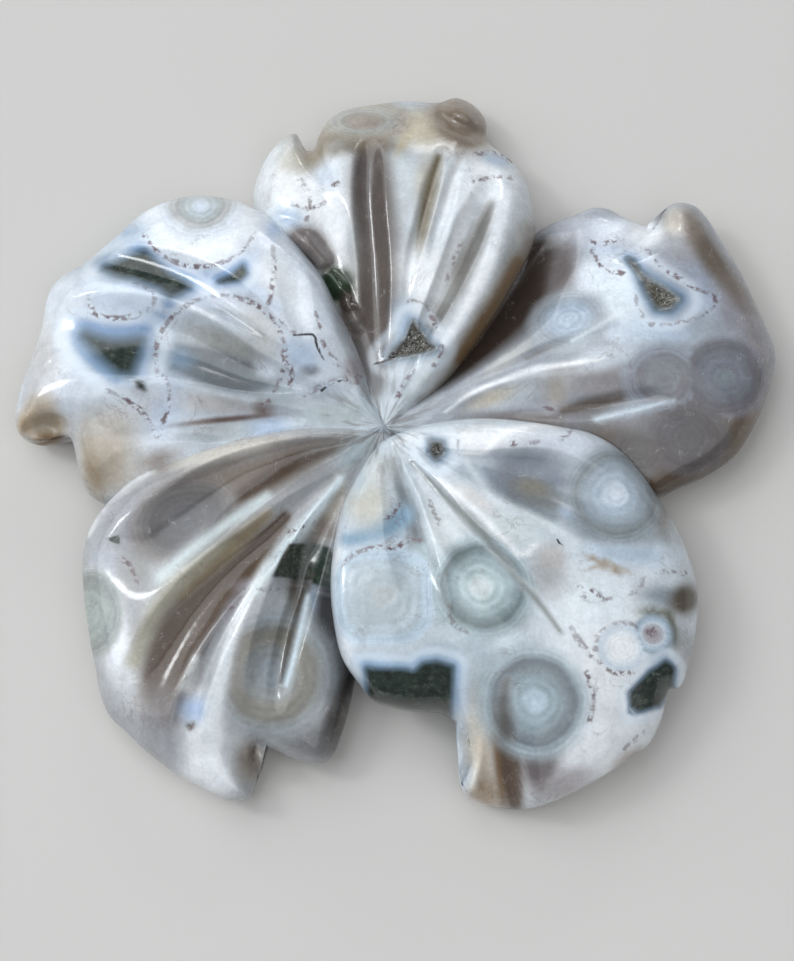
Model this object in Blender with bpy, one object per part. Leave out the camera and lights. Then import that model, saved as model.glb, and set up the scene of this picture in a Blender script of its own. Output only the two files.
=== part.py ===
"""A polished stone carving of a five-petalled flower, cut from one piece.

Z is up and lengths are metres, except in the tables, which are in millimetres. The flower lies on a
ground face at z = 0, and its petals meet over the origin. Each petal starts as a sphere that is
pressed flat on its plan, is lifted to a sheet through a few heights, and is then gouged: a gouge is
a row of points that a round cutter ran through. The five are fused in one solid, and the underside
is ground flat. The plans were set out as seen from EYE on the level PLAN_Z, so each point slides
along its line of sight to its own height.
"""

import math

import bmesh
import bpy
import numpy as np

MM = 0.001
EYE = (1.29, -53.69, 193.85)
PLAN_Z = 7.0
MERIDIANS = 200
TOP_RINGS = 56
UNDER_RINGS = 14
VOXEL = 0.5
TRIANGLES = 9200
SMOOTH_OUTLINE = 5.0
FOOT_RADIUS = 15.0
FREE_RADIUS = 29.0
BURIED_Z = -1.2
STONE_COLOUR = (0.62, 0.64, 0.66, 1.0)

# Rim rows are x, y, height of the top edge, thickness, width of the rolled edge.
# Sheet rows are x, y, height. Gouge, score and bead rows are x, y, left and right width, depth.
LOWER_RIGHT = {
    "pole": (4.0, -7.0),
    "rim": [
        (0.0, -2.0, 8.4, 4.0, 1.4),
        (2.0, -1.1, 9.0, 4.4, 1.4),
        (5.0, -0.3, 9.7, 4.8, 1.5),
        (10.0, 0.1, 10.5, 5.0, 1.6),
        (15.0, -0.4, 10.5, 5.0, 1.6),
        (19.0, -1.2, 10.1, 5.0, 1.8),
        (22.0, -2.0, 9.6, 5.0, 2.0),
        (25.0, -4.0, 9.1, 5.0, 2.2),
        (27.3, -7.0, 8.6, 5.0, 2.2),
        (29.0, -10.0, 8.2, 5.0, 2.2),
        (30.5, -13.0, 7.9, 5.0, 2.2),
        (31.7, -17.0, 7.6, 5.0, 2.2),
        (32.0, -20.0, 7.4, 5.0, 2.2),
        (31.5, -23.5, 7.1, 5.0, 2.2),
        (30.5, -27.0, 6.9, 5.0, 2.2),
        (29.4, -29.3, 6.7, 5.0, 2.0),
        (28.5, -29.2, 6.7, 5.0, 2.0),
        (28.0, -30.2, 6.6, 5.0, 2.0),
        (27.5, -32.0, 6.4, 5.0, 2.2),
        (26.0, -34.8, 6.2, 5.0, 2.4),
        (24.0, -36.2, 6.0, 4.8, 2.4),
        (21.0, -38.0, 5.9, 4.8, 2.4),
        (18.0, -39.5, 5.8, 4.8, 2.4),
        (15.0, -40.6, 5.7, 4.8, 2.2),
        (12.0, -41.0, 5.7, 4.8, 1.8),
        (9.0, -40.3, 5.8, 4.8, 1.4),
        (7.0, -39.4, 5.9, 4.8, 1.2),
        (6.7, -38.6, 6.0, 4.8, 1.2),
        (7.2, -37.3, 6.2, 4.8, 1.2),
        (7.9, -35.5, 6.6, 4.8, 1.2),
        (7.6, -33.8, 7.1, 5.0, 1.3),
        (6.5, -32.0, 7.7, 5.2, 1.5),
        (5.0, -31.0, 8.2, 5.4, 1.6),
        (2.0, -30.7, 8.8, 5.6, 1.7),
        (0.0, -30.2, 9.2, 5.8, 1.6),
        (-2.0, -29.4, 9.6, 5.8, 1.5),
        (-3.5, -27.5, 10.0, 5.8, 1.4),
        (-5.0, -25.0, 10.4, 5.8, 1.3),
        (-5.8, -21.0, 10.9, 5.8, 1.3),
        (-6.0, -17.0, 11.1, 5.8, 1.3),
        (-5.5, -13.0, 10.8, 5.6, 1.3),
        (-4.5, -9.0, 10.2, 5.0, 1.3),
        (-3.0, -6.0, 9.4, 4.4, 1.3),
        (-1.2, -3.2, 8.6, 4.0, 1.3),
    ],
    "sheet": [
        (2.5, -5.0, 10.0),
        (5.0, -9.0, 12.0),
        (6.0, -15.0, 13.6),
        (-1.0, -13.0, 12.0),
        (-0.5, -20.0, 12.6),
        (1.0, -26.0, 11.4),
        (6.5, -22.0, 13.4),
        (7.5, -28.0, 11.4),
        (9.5, -12.0, 12.8),
        (13.0, -17.0, 12.9),
        (17.0, -22.0, 11.9),
        (14.5, -30.0, 10.2),
        (20.0, -30.0, 9.4),
        (12.5, -36.0, 8.0),
        (20.0, -35.0, 7.9),
        (25.0, -26.0, 9.4),
        (27.0, -18.0, 9.6),
        (24.0, -9.5, 10.0),
        (20.0, -15.0, 11.4),
        (15.0, -7.0, 11.2),
        (8.0, -4.0, 11.0),
    ],
    "gouges": [
        [(0.8, -3.0, 0.6, 1.2, 0.5), (1.5, -6.0, 1.1, 2.2, 1.1), (2.5, -9.5, 1.6, 3.2, 1.6),
         (3.2, -13.0, 1.8, 3.8, 1.6), (4.0, -17.0, 2.0, 4.0, 1.1), (5.0, -20.0, 2.0, 4.0, 0.6),
         (6.0, -23.0, 2.0, 3.0, 0.0)],
        [(3.0, -4.7, 0.6, 1.2, 0.6), (5.0, -7.5, 1.2, 2.0, 1.3), (8.0, -12.0, 1.6, 3.2, 1.9),
         (11.0, -15.0, 1.7, 3.8, 1.9), (14.0, -18.5, 1.9, 4.2, 1.2), (16.5, -22.0, 2.2, 4.0, 0.5),
         (18.5, -25.0, 2.2, 3.0, 0.0)],
        [(5.0, -3.4, 0.9, 0.7, 0.5), (9.0, -5.0, 1.8, 1.6, 1.3), (13.0, -6.3, 3.4, 3.0, 2.1),
         (17.0, -7.6, 4.4, 3.6, 2.3), (21.0, -9.4, 4.2, 3.6, 1.6), (25.5, -12.0, 3.4, 3.0, 0.3)],
        [(12.0, -31.5, 2.0, 2.0, 0.0), (11.2, -35.0, 3.0, 2.6, 1.6), (10.6, -38.5, 3.4, 2.5, 2.6),
         (10.2, -42.0, 3.6, 2.5, 2.8)],
        [(19.0, -24.0, 2.5, 2.5, 0.0), (23.0, -29.0, 3.5, 3.0, 0.5), (26.0, -34.0, 3.5, 3.0, 0.4)],
    ],
    "scores": [],
    "beads": [],
}

RIGHT = {
    "pole": (8.0, 2.5),
    "rim": [
        (-0.6, -0.4, 5.2, 4.0, 1.5),
        (2.0, -2.4, 4.9, 4.0, 1.5),
        (10.0, -3.0, 4.6, 4.0, 1.5),
        (18.0, -4.5, 4.8, 4.0, 1.5),
        (24.0, -7.0, 5.0, 4.4, 2.0),
        (27.0, -9.0, 5.0, 4.4, 2.2),
        (28.7, -9.2, 5.0, 4.4, 2.2),
        (31.0, -8.2, 5.1, 4.4, 2.4),
        (34.0, -7.0, 5.2, 4.4, 2.4),
        (37.0, -5.0, 5.3, 4.4, 2.4),
        (39.5, -1.5, 5.4, 4.4, 2.4),
        (41.0, 1.5, 5.5, 4.4, 2.4),
        (42.0, 4.5, 5.6, 4.4, 2.4),
        (42.2, 6.5, 5.7, 4.4, 2.4),
        (41.5, 9.0, 5.8, 4.4, 2.4),
        (40.5, 12.0, 5.9, 4.4, 2.4),
        (39.0, 16.0, 6.1, 4.4, 2.2),
        (37.5, 19.0, 6.3, 4.4, 2.0),
        (36.0, 22.0, 6.5, 4.4, 1.8),
        (34.8, 23.4, 6.6, 4.2, 1.6),
        (33.0, 23.8, 6.5, 4.0, 1.4),
        (31.8, 23.3, 6.1, 3.8, 1.2),
        (31.0, 22.0, 5.5, 3.6, 1.2),
        (30.4, 20.9, 5.2, 3.6, 1.2),
        (29.0, 21.3, 5.1, 3.6, 1.4),
        (27.0, 22.3, 5.2, 3.8, 1.6),
        (25.5, 23.3, 5.2, 4.0, 1.8),
        (24.0, 23.6, 5.0, 4.0, 1.8),
        (22.5, 23.1, 4.8, 4.0, 1.8),
        (21.0, 22.5, 4.6, 3.8, 1.8),
        (19.0, 21.8, 4.4, 3.8, 1.8),
        (17.0, 20.5, 4.2, 3.6, 1.8),
        (13.0, 15.5, 3.9, 3.4, 1.8),
        (9.0, 10.5, 3.9, 3.4, 1.8),
        (4.0, 5.0, 4.5, 3.6, 1.6),
        (1.5, 2.0, 5.2, 4.0, 1.5),
    ],
    "sheet": [
        (5.0, 1.5, 6.2),
        (9.0, 2.5, 7.2),
        (13.0, 4.0, 7.8),
        (17.0, 5.3, 8.2),
        (22.0, 5.8, 8.5),
        (27.0, 6.8, 8.6),
        (12.0, 6.0, 7.0),
        (19.0, 8.3, 8.0),
        (26.0, 11.0, 8.5),
        (16.0, 12.0, 6.2),
        (21.0, 16.0, 6.8),
        (24.0, 17.0, 7.0),
        (28.0, 17.0, 7.4),
        (33.0, 14.0, 8.0),
        (34.0, 19.0, 7.4),
        (36.0, 4.0, 7.9),
        (31.0, -1.0, 7.6),
        (24.0, -2.0, 6.8),
        (14.0, 0.0, 6.2),
        (30.0, 4.5, 8.6),
    ],
    "gouges": [
        [(6.0, 0.6, 1.0, 1.0, 0.4), (9.0, 1.2, 1.4, 1.6, 0.9), (13.0, 1.8, 2.4, 2.2, 1.3),
         (18.0, 1.4, 3.8, 2.2, 1.4), (22.0, 0.9, 4.4, 1.6, 1.4), (26.0, 1.4, 3.8, 1.3, 1.1),
         (29.0, 1.8, 2.6, 1.2, 0.6), (31.5, 2.1, 1.6, 1.0, 0.0)],
        [(9.0, 3.9, 0.6, 0.8, 0.3), (13.0, 5.2, 1.0, 1.3, 0.8), (17.0, 6.9, 1.2, 1.8, 1.0),
         (20.0, 7.9, 1.3, 2.3, 0.9), (24.0, 9.0, 1.5, 2.6, 0.5), (28.0, 10.2, 1.5, 2.2, 0.0)],
        [(3.0, 2.2, 1.6, 1.0, 0.5), (7.0, 5.0, 2.2, 1.5, 1.2), (10.0, 7.6, 2.8, 2.2, 1.7),
         (13.0, 10.6, 3.0, 3.4, 1.9), (16.0, 14.4, 3.0, 4.2, 1.9), (18.3, 18.5, 3.0, 3.8, 1.5),
         (19.5, 22.5, 3.0, 3.0, 1.0)],
        [(18.0, 12.0, 1.5, 1.5, 0.0), (21.0, 13.4, 2.4, 2.0, 0.6), (25.0, 14.4, 2.4, 2.4, 0.7),
         (29.5, 14.5, 2.4, 2.4, 0.3), (33.0, 14.0, 2.0, 2.0, 0.0)],
        [(25.5, 16.5, 1.0, 1.2, 0.0), (27.5, 18.8, 1.8, 1.8, 0.8), (29.4, 20.6, 2.0, 2.2, 1.5),
         (31.0, 22.0, 2.0, 1.6, 1.8)],
    ],
    "scores": [
        [(19.5, 0.5, 1.2, 0.7, 0.2), (23.0, 0.9, 1.4, 0.7, 0.6), (27.0, 1.3, 1.3, 0.6, 0.6),
         (30.5, 1.9, 1.0, 0.5, 0.1)],
    ],
    "beads": [
        [(33.3, 22.3, 1.7, 1.7, 0.9), (33.6, 21.6, 1.7, 1.7, 0.6)],
    ],
}

TOP = {
    "pole": (2.0, 7.0),
    "rim": [
        (0.6, -1.8, 5.5, 4.0, 1.6),
        (2.4, 0.2, 5.9, 4.4, 1.8),
        (4.4, 1.9, 6.3, 4.6, 2.0),
        (7.0, 4.3, 7.0, 5.2, 2.4),
        (9.5, 7.4, 7.6, 5.8, 2.8),
        (12.0, 11.0, 8.0, 6.2, 3.0),
        (14.5, 15.0, 8.2, 6.4, 3.2),
        (16.5, 18.5, 8.2, 6.4, 3.2),
        (17.3, 21.0, 8.0, 6.2, 3.2),
        (17.1, 24.0, 7.8, 5.8, 3.0),
        (16.5, 27.0, 7.4, 5.2, 2.6),
        (15.0, 29.6, 6.8, 4.8, 2.0),
        (13.0, 31.3, 6.0, 4.4, 1.4),
        (12.4, 32.4, 5.4, 4.0, 1.2),
        (12.6, 33.6, 5.0, 4.0, 1.6),
        (12.2, 35.0, 4.8, 4.0, 1.8),
        (11.0, 36.4, 4.7, 4.0, 1.8),
        (9.3, 37.2, 4.6, 4.0, 1.8),
        (7.4, 36.7, 4.4, 3.8, 1.6),
        (4.0, 37.0, 4.4, 4.0, 2.2),
        (0.0, 36.7, 4.4, 4.0, 2.2),
        (-3.5, 36.0, 4.5, 4.0, 2.2),
        (-5.1, 34.8, 4.6, 4.0, 1.8),
        (-6.1, 33.0, 4.9, 4.0, 1.3),
        (-6.6, 31.6, 5.2, 4.0, 1.1),
        (-7.5, 31.5, 5.3, 4.0, 1.1),
        (-8.0, 32.5, 5.3, 4.0, 1.2),
        (-8.6, 33.6, 5.2, 4.0, 1.4),
        (-9.6, 33.3, 5.1, 4.0, 1.6),
        (-11.0, 32.0, 5.0, 4.2, 2.0),
        (-12.3, 30.0, 4.9, 4.2, 2.2),
        (-13.2, 27.5, 4.8, 4.2, 2.2),
        (-13.4, 25.0, 4.7, 4.2, 2.2),
        (-12.5, 21.5, 4.6, 4.0, 2.0),
        (-10.0, 17.0, 4.6, 3.8, 1.8),
        (-7.5, 12.0, 4.7, 3.8, 1.6),
        (-5.0, 7.0, 4.9, 3.8, 1.5),
        (-3.0, 3.0, 5.1, 3.8, 1.5),
        (-1.2, 0.0, 5.3, 4.0, 1.5),
    ],
    "sheet": [
        (2.5, 4.0, 7.0),
        (6.5, 8.0, 8.8),
        (10.0, 12.6, 9.5),
        (13.0, 18.5, 9.8),
        (14.0, 24.0, 9.4),
        (5.0, 12.0, 8.6),
        (7.5, 19.0, 9.6),
        (10.5, 25.0, 9.6),
        (10.0, 32.4, 7.4),
        (5.5, 31.0, 8.6),
        (2.2, 31.5, 8.3),
        (3.0, 24.0, 9.2),
        (2.4, 16.0, 8.6),
        (-0.4, 31.0, 7.9),
        (-3.5, 31.5, 7.3),
        (-3.2, 25.0, 8.2),
        (-3.0, 18.0, 7.2),
        (-6.5, 25.0, 7.4),
        (-9.8, 27.0, 6.6),
        (-2.0, 10.0, 6.6),
        (0.5, 8.0, 7.2),
        (2.0, 34.6, 6.2),
    ],
    "gouges": [
        [(-0.2, 7.5, 0.9, 1.0, 0.5), (-0.3, 12.0, 1.6, 1.6, 1.5), (-0.4, 18.0, 2.0, 1.9, 2.1),
         (-0.8, 25.0, 2.0, 2.0, 2.3), (-0.7, 29.0, 1.9, 1.9, 1.9), (-0.5, 32.5, 1.6, 1.6, 0.6)],
        [(2.6, 12.0, 0.6, 0.6, 0.1), (3.8, 18.5, 1.0, 1.0, 0.9), (5.0, 22.5, 1.1, 1.1, 1.3),
         (6.3, 27.0, 1.1, 1.1, 1.3), (7.4, 30.6, 0.9, 0.9, 0.6)],
        [(5.6, 17.5, 0.6, 0.6, 0.1), (6.5, 21.0, 0.9, 0.9, 0.8), (7.5, 24.0, 1.0, 1.0, 1.0),
         (8.4, 27.0, 1.0, 1.0, 0.9), (9.6, 30.4, 0.8, 0.8, 0.3)],
        [(3.6, 6.0, 0.6, 0.5, 0.3), (5.5, 11.0, 1.5, 1.1, 1.2), (7.0, 14.0, 1.8, 1.3, 1.6),
         (9.0, 18.0, 2.2, 1.5, 1.8), (10.6, 22.0, 2.3, 1.7, 1.6), (12.0, 25.0, 2.0, 1.6, 1.2),
         (13.2, 28.0, 1.4, 1.2, 0.3)],
        [(-4.3, 26.0, 0.8, 0.8, 0.0), (-5.8, 28.5, 1.2, 1.2, 0.9), (-6.9, 31.0, 1.3, 1.5, 1.5),
         (-7.6, 33.5, 1.3, 1.6, 1.8)],
        [(-3.8, 15.0, 1.5, 1.5, 0.3), (-4.6, 20.0, 2.3, 2.2, 0.9), (-5.8, 24.5, 2.6, 2.6, 0.7),
         (-8.6, 28.5, 2.4, 2.4, 0.1)],
        [(6.0, 35.8, 0.9, 0.9, 0.1), (8.0, 34.6, 1.0, 1.0, 0.8), (10.4, 33.3, 1.0, 1.0, 1.0),
         (12.8, 32.1, 1.0, 1.0, 0.9)],
    ],
    "scores": [],
    "beads": [
        [(9.8, 35.6, 2.4, 2.4, 1.1), (10.3, 35.2, 2.4, 2.4, 1.1)],
        [(-10.2, 22.6, 1.2, 1.2, 0.3), (-8.0, 20.9, 1.7, 1.7, 1.6), (-5.9, 18.6, 1.4, 1.4, 1.0)],
        [(-4.9, 16.7, 1.0, 1.0, 0.5), (-4.1, 15.3, 1.2, 1.2, 1.1), (-3.6, 14.3, 1.0, 1.0, 0.4)],
        [(-3.3, 13.1, 1.0, 1.0, 0.5), (-2.7, 12.0, 1.2, 1.2, 1.2), (-2.3, 10.8, 1.0, 1.0, 0.5)],
    ],
}

LOWER_LEFT = {
    "pole": (-5.0, -6.0),
    "rim": [
        (-0.8, -0.6, 6.4, 4.0, 1.4),
        (-3.0, -0.2, 7.0, 4.4, 1.5),
        (-6.0, 0.0, 7.6, 4.8, 1.6),
        (-10.0, -0.3, 8.1, 5.0, 1.6),
        (-14.0, -0.9, 8.4, 5.0, 1.6),
        (-18.0, -2.0, 8.5, 5.0, 1.6),
        (-21.0, -3.0, 8.4, 5.0, 1.6),
        (-23.5, -4.0, 8.2, 5.0, 1.8),
        (-26.0, -5.0, 8.0, 5.0, 1.8),
        (-28.5, -7.0, 7.6, 5.0, 2.0),
        (-30.2, -9.0, 7.3, 5.0, 2.2),
        (-31.4, -11.5, 7.0, 5.0, 2.2),
        (-31.8, -14.0, 6.7, 4.8, 2.2),
        (-31.6, -18.0, 6.3, 4.8, 2.2),
        (-31.0, -22.0, 5.9, 4.6, 2.2),
        (-30.3, -25.5, 5.6, 4.6, 2.2),
        (-29.8, -28.0, 5.4, 4.6, 2.0),
        (-29.0, -30.0, 5.2, 4.6, 2.0),
        (-27.0, -32.0, 5.1, 4.6, 2.2),
        (-25.0, -34.0, 5.0, 4.6, 2.2),
        (-22.0, -36.3, 4.9, 4.4, 2.2),
        (-19.0, -38.0, 4.9, 4.4, 2.0),
        (-16.5, -39.2, 4.9, 4.4, 1.6),
        (-14.9, -38.9, 4.9, 4.4, 1.3),
        (-14.0, -37.5, 4.9, 4.4, 1.2),
        (-13.8, -36.2, 4.9, 4.4, 1.2),
        (-14.3, -34.9, 4.9, 4.4, 1.2),
        (-14.0, -33.6, 5.1, 4.4, 1.4),
        (-12.5, -34.0, 5.2, 4.4, 1.8),
        (-10.0, -35.2, 5.2, 4.4, 2.2),
        (-8.0, -35.8, 5.1, 4.4, 2.2),
        (-6.5, -35.3, 5.0, 4.4, 2.2),
        (-5.3, -33.0, 4.8, 4.2, 2.2),
        (-4.4, -30.3, 4.7, 4.0, 2.0),
        (-3.4, -26.0, 4.7, 4.0, 1.8),
        (-2.0, -19.0, 4.9, 4.0, 1.6),
        (-0.8, -12.0, 5.1, 4.0, 1.6),
        (0.8, -6.0, 5.5, 4.0, 1.6),
        (1.6, -2.0, 5.7, 4.0, 1.4),
    ],
    "sheet": [
        (-3.0, -3.0, 7.2),
        (-5.0, -4.8, 7.9),
        (-9.0, -6.6, 9.2),
        (-16.0, -11.0, 10.2),
        (-23.0, -16.6, 9.6),
        (-26.3, -21.0, 8.6),
        (-28.2, -25.5, 7.0),
        (-10.0, -12.0, 9.2),
        (-13.0, -16.5, 9.8),
        (-15.5, -21.0, 9.6),
        (-17.5, -25.5, 8.9),
        (-18.5, -31.0, 7.6),
        (-18.5, -35.5, 6.1),
        (-21.5, -27.0, 8.6),
        (-24.5, -30.0, 7.2),
        (-13.0, -3.0, 9.3),
        (-20.0, -6.5, 9.6),
        (-26.0, -11.0, 9.2),
        (-6.0, -13.0, 7.8),
        (-7.3, -19.0, 7.9),
        (-6.5, -25.0, 7.2),
        (-7.0, -31.0, 6.3),
        (-12.0, -26.0, 8.2),
        (-12.0, -31.5, 6.6),
    ],
    "gouges": [
        [(-3.0, -1.9, 0.8, 0.8, 0.5), (-6.0, -2.5, 1.6, 1.6, 1.3), (-9.0, -3.2, 2.4, 2.2, 2.0),
         (-13.0, -4.8, 3.2, 3.2, 2.7), (-17.0, -7.0, 3.7, 4.0, 2.9), (-21.0, -10.0, 4.2, 4.6, 2.6),
         (-25.0, -13.2, 4.2, 4.6, 1.7), (-28.5, -16.5, 3.5, 4.0, 0.4)],
        [(-5.5, -6.0, 0.8, 0.8, 0.5), (-9.0, -8.6, 1.7, 1.5, 1.4), (-12.5, -12.0, 2.7, 2.3, 2.2),
         (-17.0, -16.0, 3.2, 3.2, 2.6), (-21.0, -21.0, 3.2, 4.0, 2.5), (-23.8, -26.0, 3.0, 4.2, 1.8),
         (-25.6, -31.0, 2.6, 3.6, 0.6)],
        [(-12.0, -14.0, 0.6, 0.8, 0.2), (-15.6, -19.0, 1.1, 1.5, 1.0), (-18.4, -24.0, 1.3, 1.8, 1.3),
         (-20.4, -29.0, 1.5, 2.0, 1.3), (-21.2, -34.0, 1.6, 2.0, 0.6), (-21.4, -37.0, 1.6, 1.8, 0.2)],
        [(-5.0, -8.0, 0.8, 0.8, 0.5), (-7.5, -12.0, 2.0, 1.8, 1.5), (-9.3, -16.0, 2.6, 2.3, 2.0),
         (-11.0, -21.0, 2.8, 2.6, 1.9), (-12.2, -26.0, 2.6, 2.8, 1.2), (-13.0, -31.0, 2.2, 2.6, 0.3)],
        [(-16.6, -33.0, 1.2, 1.2, 0.2), (-15.6, -35.0, 1.6, 1.6, 1.3), (-14.3, -37.0, 1.6, 1.8, 2.0)],
    ],
    "scores": [
        [(-8.6, -14.0, 0.8, 0.8, 0.1), (-9.3, -18.0, 1.1, 1.0, 0.7), (-10.6, -22.0, 1.1, 1.0, 0.9),
         (-11.5, -26.0, 1.0, 1.0, 0.7), (-12.0, -29.5, 0.8, 0.8, 0.1)],
    ],
    "beads": [],
}

LEFT = {
    "pole": (-7.0, 5.0),
    "rim": [
        (0.9, -0.9, 5.8, 4.0, 1.5),
        (0.2, 0.9, 6.1, 4.0, 1.4),
        (-1.0, 2.8, 6.9, 4.6, 1.4),
        (-1.8, 6.0, 8.0, 5.2, 1.4),
        (-3.0, 9.5, 8.8, 5.6, 1.4),
        (-4.5, 13.0, 9.3, 5.8, 1.4),
        (-6.0, 16.5, 9.4, 5.8, 1.5),
        (-8.0, 19.5, 9.1, 5.6, 1.6),
        (-10.0, 22.0, 8.6, 5.4, 1.8),
        (-12.0, 24.0, 8.0, 5.2, 2.0),
        (-14.5, 25.5, 7.4, 5.0, 2.2),
        (-17.0, 26.3, 6.9, 4.8, 2.2),
        (-20.0, 26.6, 6.4, 4.6, 2.2),
        (-23.0, 26.0, 6.0, 4.4, 2.2),
        (-25.5, 24.8, 5.8, 4.4, 2.2),
        (-28.0, 22.5, 5.6, 4.2, 2.0),
        (-30.3, 20.5, 5.4, 4.2, 1.8),
        (-32.0, 19.0, 5.3, 4.2, 1.8),
        (-33.7, 18.1, 5.4, 4.2, 1.8),
        (-35.2, 16.8, 5.5, 4.2, 1.8),
        (-35.9, 15.0, 5.5, 4.2, 2.0),
        (-36.4, 12.0, 5.6, 4.2, 2.2),
        (-37.3, 9.0, 5.8, 4.2, 2.2),
        (-38.3, 6.0, 6.0, 4.4, 2.2),
        (-38.9, 3.5, 6.1, 4.4, 2.0),
        (-39.1, 1.5, 6.0, 4.4, 1.6),
        (-38.4, -0.2, 5.5, 4.4, 1.4),
        (-36.6, -0.9, 5.0, 4.2, 1.3),
        (-34.6, -0.5, 5.1, 4.2, 1.3),
        (-33.3, -0.4, 5.8, 4.4, 1.3),
        (-32.7, -2.0, 6.0, 4.4, 1.6),
        (-32.2, -4.5, 5.7, 4.4, 1.8),
        (-31.4, -6.4, 5.3, 4.2, 2.0),
        (-29.8, -7.7, 5.0, 4.0, 2.0),
        (-26.0, -8.0, 4.8, 4.0, 2.0),
        (-20.0, -7.0, 4.8, 4.0, 1.8),
        (-12.0, -5.5, 5.0, 4.0, 1.8),
        (-5.0, -3.6, 5.4, 4.0, 1.6),
        (-2.0, -2.4, 5.8, 4.0, 1.5),
    ],
    "sheet": [
        (-4.5, 3.0, 7.6),
        (-8.0, 5.0, 8.6),
        (-13.0, 8.5, 9.8),
        (-17.0, 11.5, 10.0),
        (-20.3, 13.5, 9.8),
        (-24.0, 14.9, 9.3),
        (-27.5, 16.0, 8.6),
        (-31.0, 16.8, 7.6),
        (-34.0, 15.8, 6.6),
        (-13.0, 2.8, 8.6),
        (-18.0, 4.3, 9.2),
        (-22.0, 5.4, 9.3),
        (-26.0, 5.9, 9.1),
        (-30.0, 6.0, 8.7),
        (-34.0, 5.2, 7.9),
        (-37.0, 3.8, 7.0),
        (-24.0, 10.5, 9.2),
        (-32.5, 11.0, 8.0),
        (-6.0, 11.0, 10.0),
        (-9.0, 17.0, 10.4),
        (-12.5, 20.5, 9.8),
        (-18.0, 22.0, 8.8),
        (-24.0, 21.0, 7.8),
        (-28.5, 19.5, 6.8),
        (-29.0, -1.5, 7.2),
        (-24.0, -2.0, 7.0),
        (-18.0, -0.5, 7.4),
        (-10.0, 0.0, 7.2),
    ],
    "gouges": [
        [(-9.0, 8.6, 0.8, 1.2, 0.3), (-13.0, 11.4, 1.5, 2.6, 1.1), (-17.0, 14.2, 1.9, 3.4, 1.8),
         (-21.0, 16.6, 2.2, 3.4, 2.2), (-25.0, 18.0, 2.2, 3.2, 2.1), (-29.0, 18.8, 1.9, 2.6, 1.6),
         (-33.0, 19.2, 1.5, 2.0, 0.8)],
        [(-7.0, 3.8, 0.7, 0.9, 0.4), (-11.0, 5.0, 1.7, 2.0, 1.3), (-15.0, 6.4, 2.6, 3.0, 2.0),
         (-19.5, 8.6, 3.6, 4.0, 2.5), (-24.0, 10.4, 4.6, 4.6, 2.7), (-29.0, 11.0, 5.0, 5.2, 2.4),
         (-33.5, 11.0, 5.0, 4.8, 1.4), (-37.5, 10.5, 4.5, 4.0, 0.4)],
        [(-9.0, 0.8, 1.0, 1.0, 0.5), (-13.0, 1.0, 1.8, 1.6, 1.1), (-17.5, 0.8, 2.6, 2.8, 1.6),
         (-22.0, 1.4, 3.0, 3.6, 1.6), (-27.0, 1.0, 3.2, 4.2, 1.0), (-31.0, 0.0, 3.0, 4.2, 0.3)],
        [(-7.8, 9.0, 1.0, 1.2, 0.1), (-8.8, 13.0, 1.6, 1.8, 0.6), (-9.5, 17.0, 1.8, 2.0, 0.7),
         (-10.8, 20.5, 1.8, 2.0, 0.2)],
        [(-33.2, 0.2, 1.2, 1.2, 1.0), (-35.3, 1.0, 1.6, 1.5, 2.2), (-37.2, 0.6, 1.4, 1.4, 1.4)],
    ],
    "scores": [],
    "beads": [
        [(-37.5, 7.6, 0.7, 0.7, 0.1), (-35.6, 8.5, 0.8, 0.8, 0.4), (-33.6, 9.2, 0.8, 0.8, 0.1)],
    ],
}

PETALS = (LOWER_RIGHT, RIGHT, TOP, LOWER_LEFT, LEFT)


def spline(rows, closed, step):
    """A smooth curve through the rows, cut evenly along x and y."""
    rows = np.asarray(rows, float)
    if closed:
        rows = np.vstack([rows[-1:], rows, rows[:2]])
    else:
        rows = np.vstack([2 * rows[:1] - rows[1:2], rows, 2 * rows[-1:] - rows[-2:-1]])
    spans = np.maximum(np.linalg.norm(np.diff(rows[:, :2], axis=0), axis=1), 0.01) ** 0.5
    knots = np.concatenate([[0], np.cumsum(spans)])[:, None]
    slopes = np.diff(rows, axis=0) / np.diff(knots, axis=0)
    gaps = np.diff(knots, axis=0)
    inner = (slopes[:-1] * gaps[1:] + slopes[1:] * gaps[:-1]) / (gaps[:-1] + gaps[1:])
    pieces = []
    for i in range(1, len(rows) - 2):
        t = np.linspace(0, 1, 24, endpoint=False)[:, None]
        gap = gaps[i]
        start = (2 * t**3 - 3 * t**2 + 1) * rows[i] + (t**3 - 2 * t**2 + t) * gap * inner[i - 1]
        end = (3 * t**2 - 2 * t**3) * rows[i + 1] + (t**3 - t**2) * gap * inner[i]
        pieces.append(start + end)
    fine = np.vstack(pieces + [rows[-2:-1]])
    run = np.concatenate([[0], np.cumsum(np.linalg.norm(np.diff(fine[:, :2], axis=0), axis=1))])
    count = step if closed else max(2, int(run[-1] / step) + 1)
    at = np.linspace(0, run[-1], count, endpoint=not closed)
    return np.stack([np.interp(at, run, column) for column in fine.T], axis=1)


def closest(points, path, closed):
    """Distance from each point to a path, the path's row there, and the side it lies on."""
    ends = np.roll(path, -1, axis=0) if closed else path[1:]
    starts = path if closed else path[:-1]
    best = np.full(len(points), 1e9)
    row = np.zeros((len(points), path.shape[1]))
    side = np.zeros(len(points))
    for a, b in zip(starts, ends):
        along = b[:2] - a[:2]
        share = np.clip((points - a[:2]) @ along / max(along @ along, 1e-9), 0, 1)
        away = points - a[:2] - share[:, None] * along
        gap = np.hypot(away[:, 0], away[:, 1])
        near = gap < best
        best[near] = gap[near]
        row[near] = a + share[near, None] * (b - a)
        side[near] = (along[0] * away[:, 1] - along[1] * away[:, 0])[near]
    return best, row, side


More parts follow.
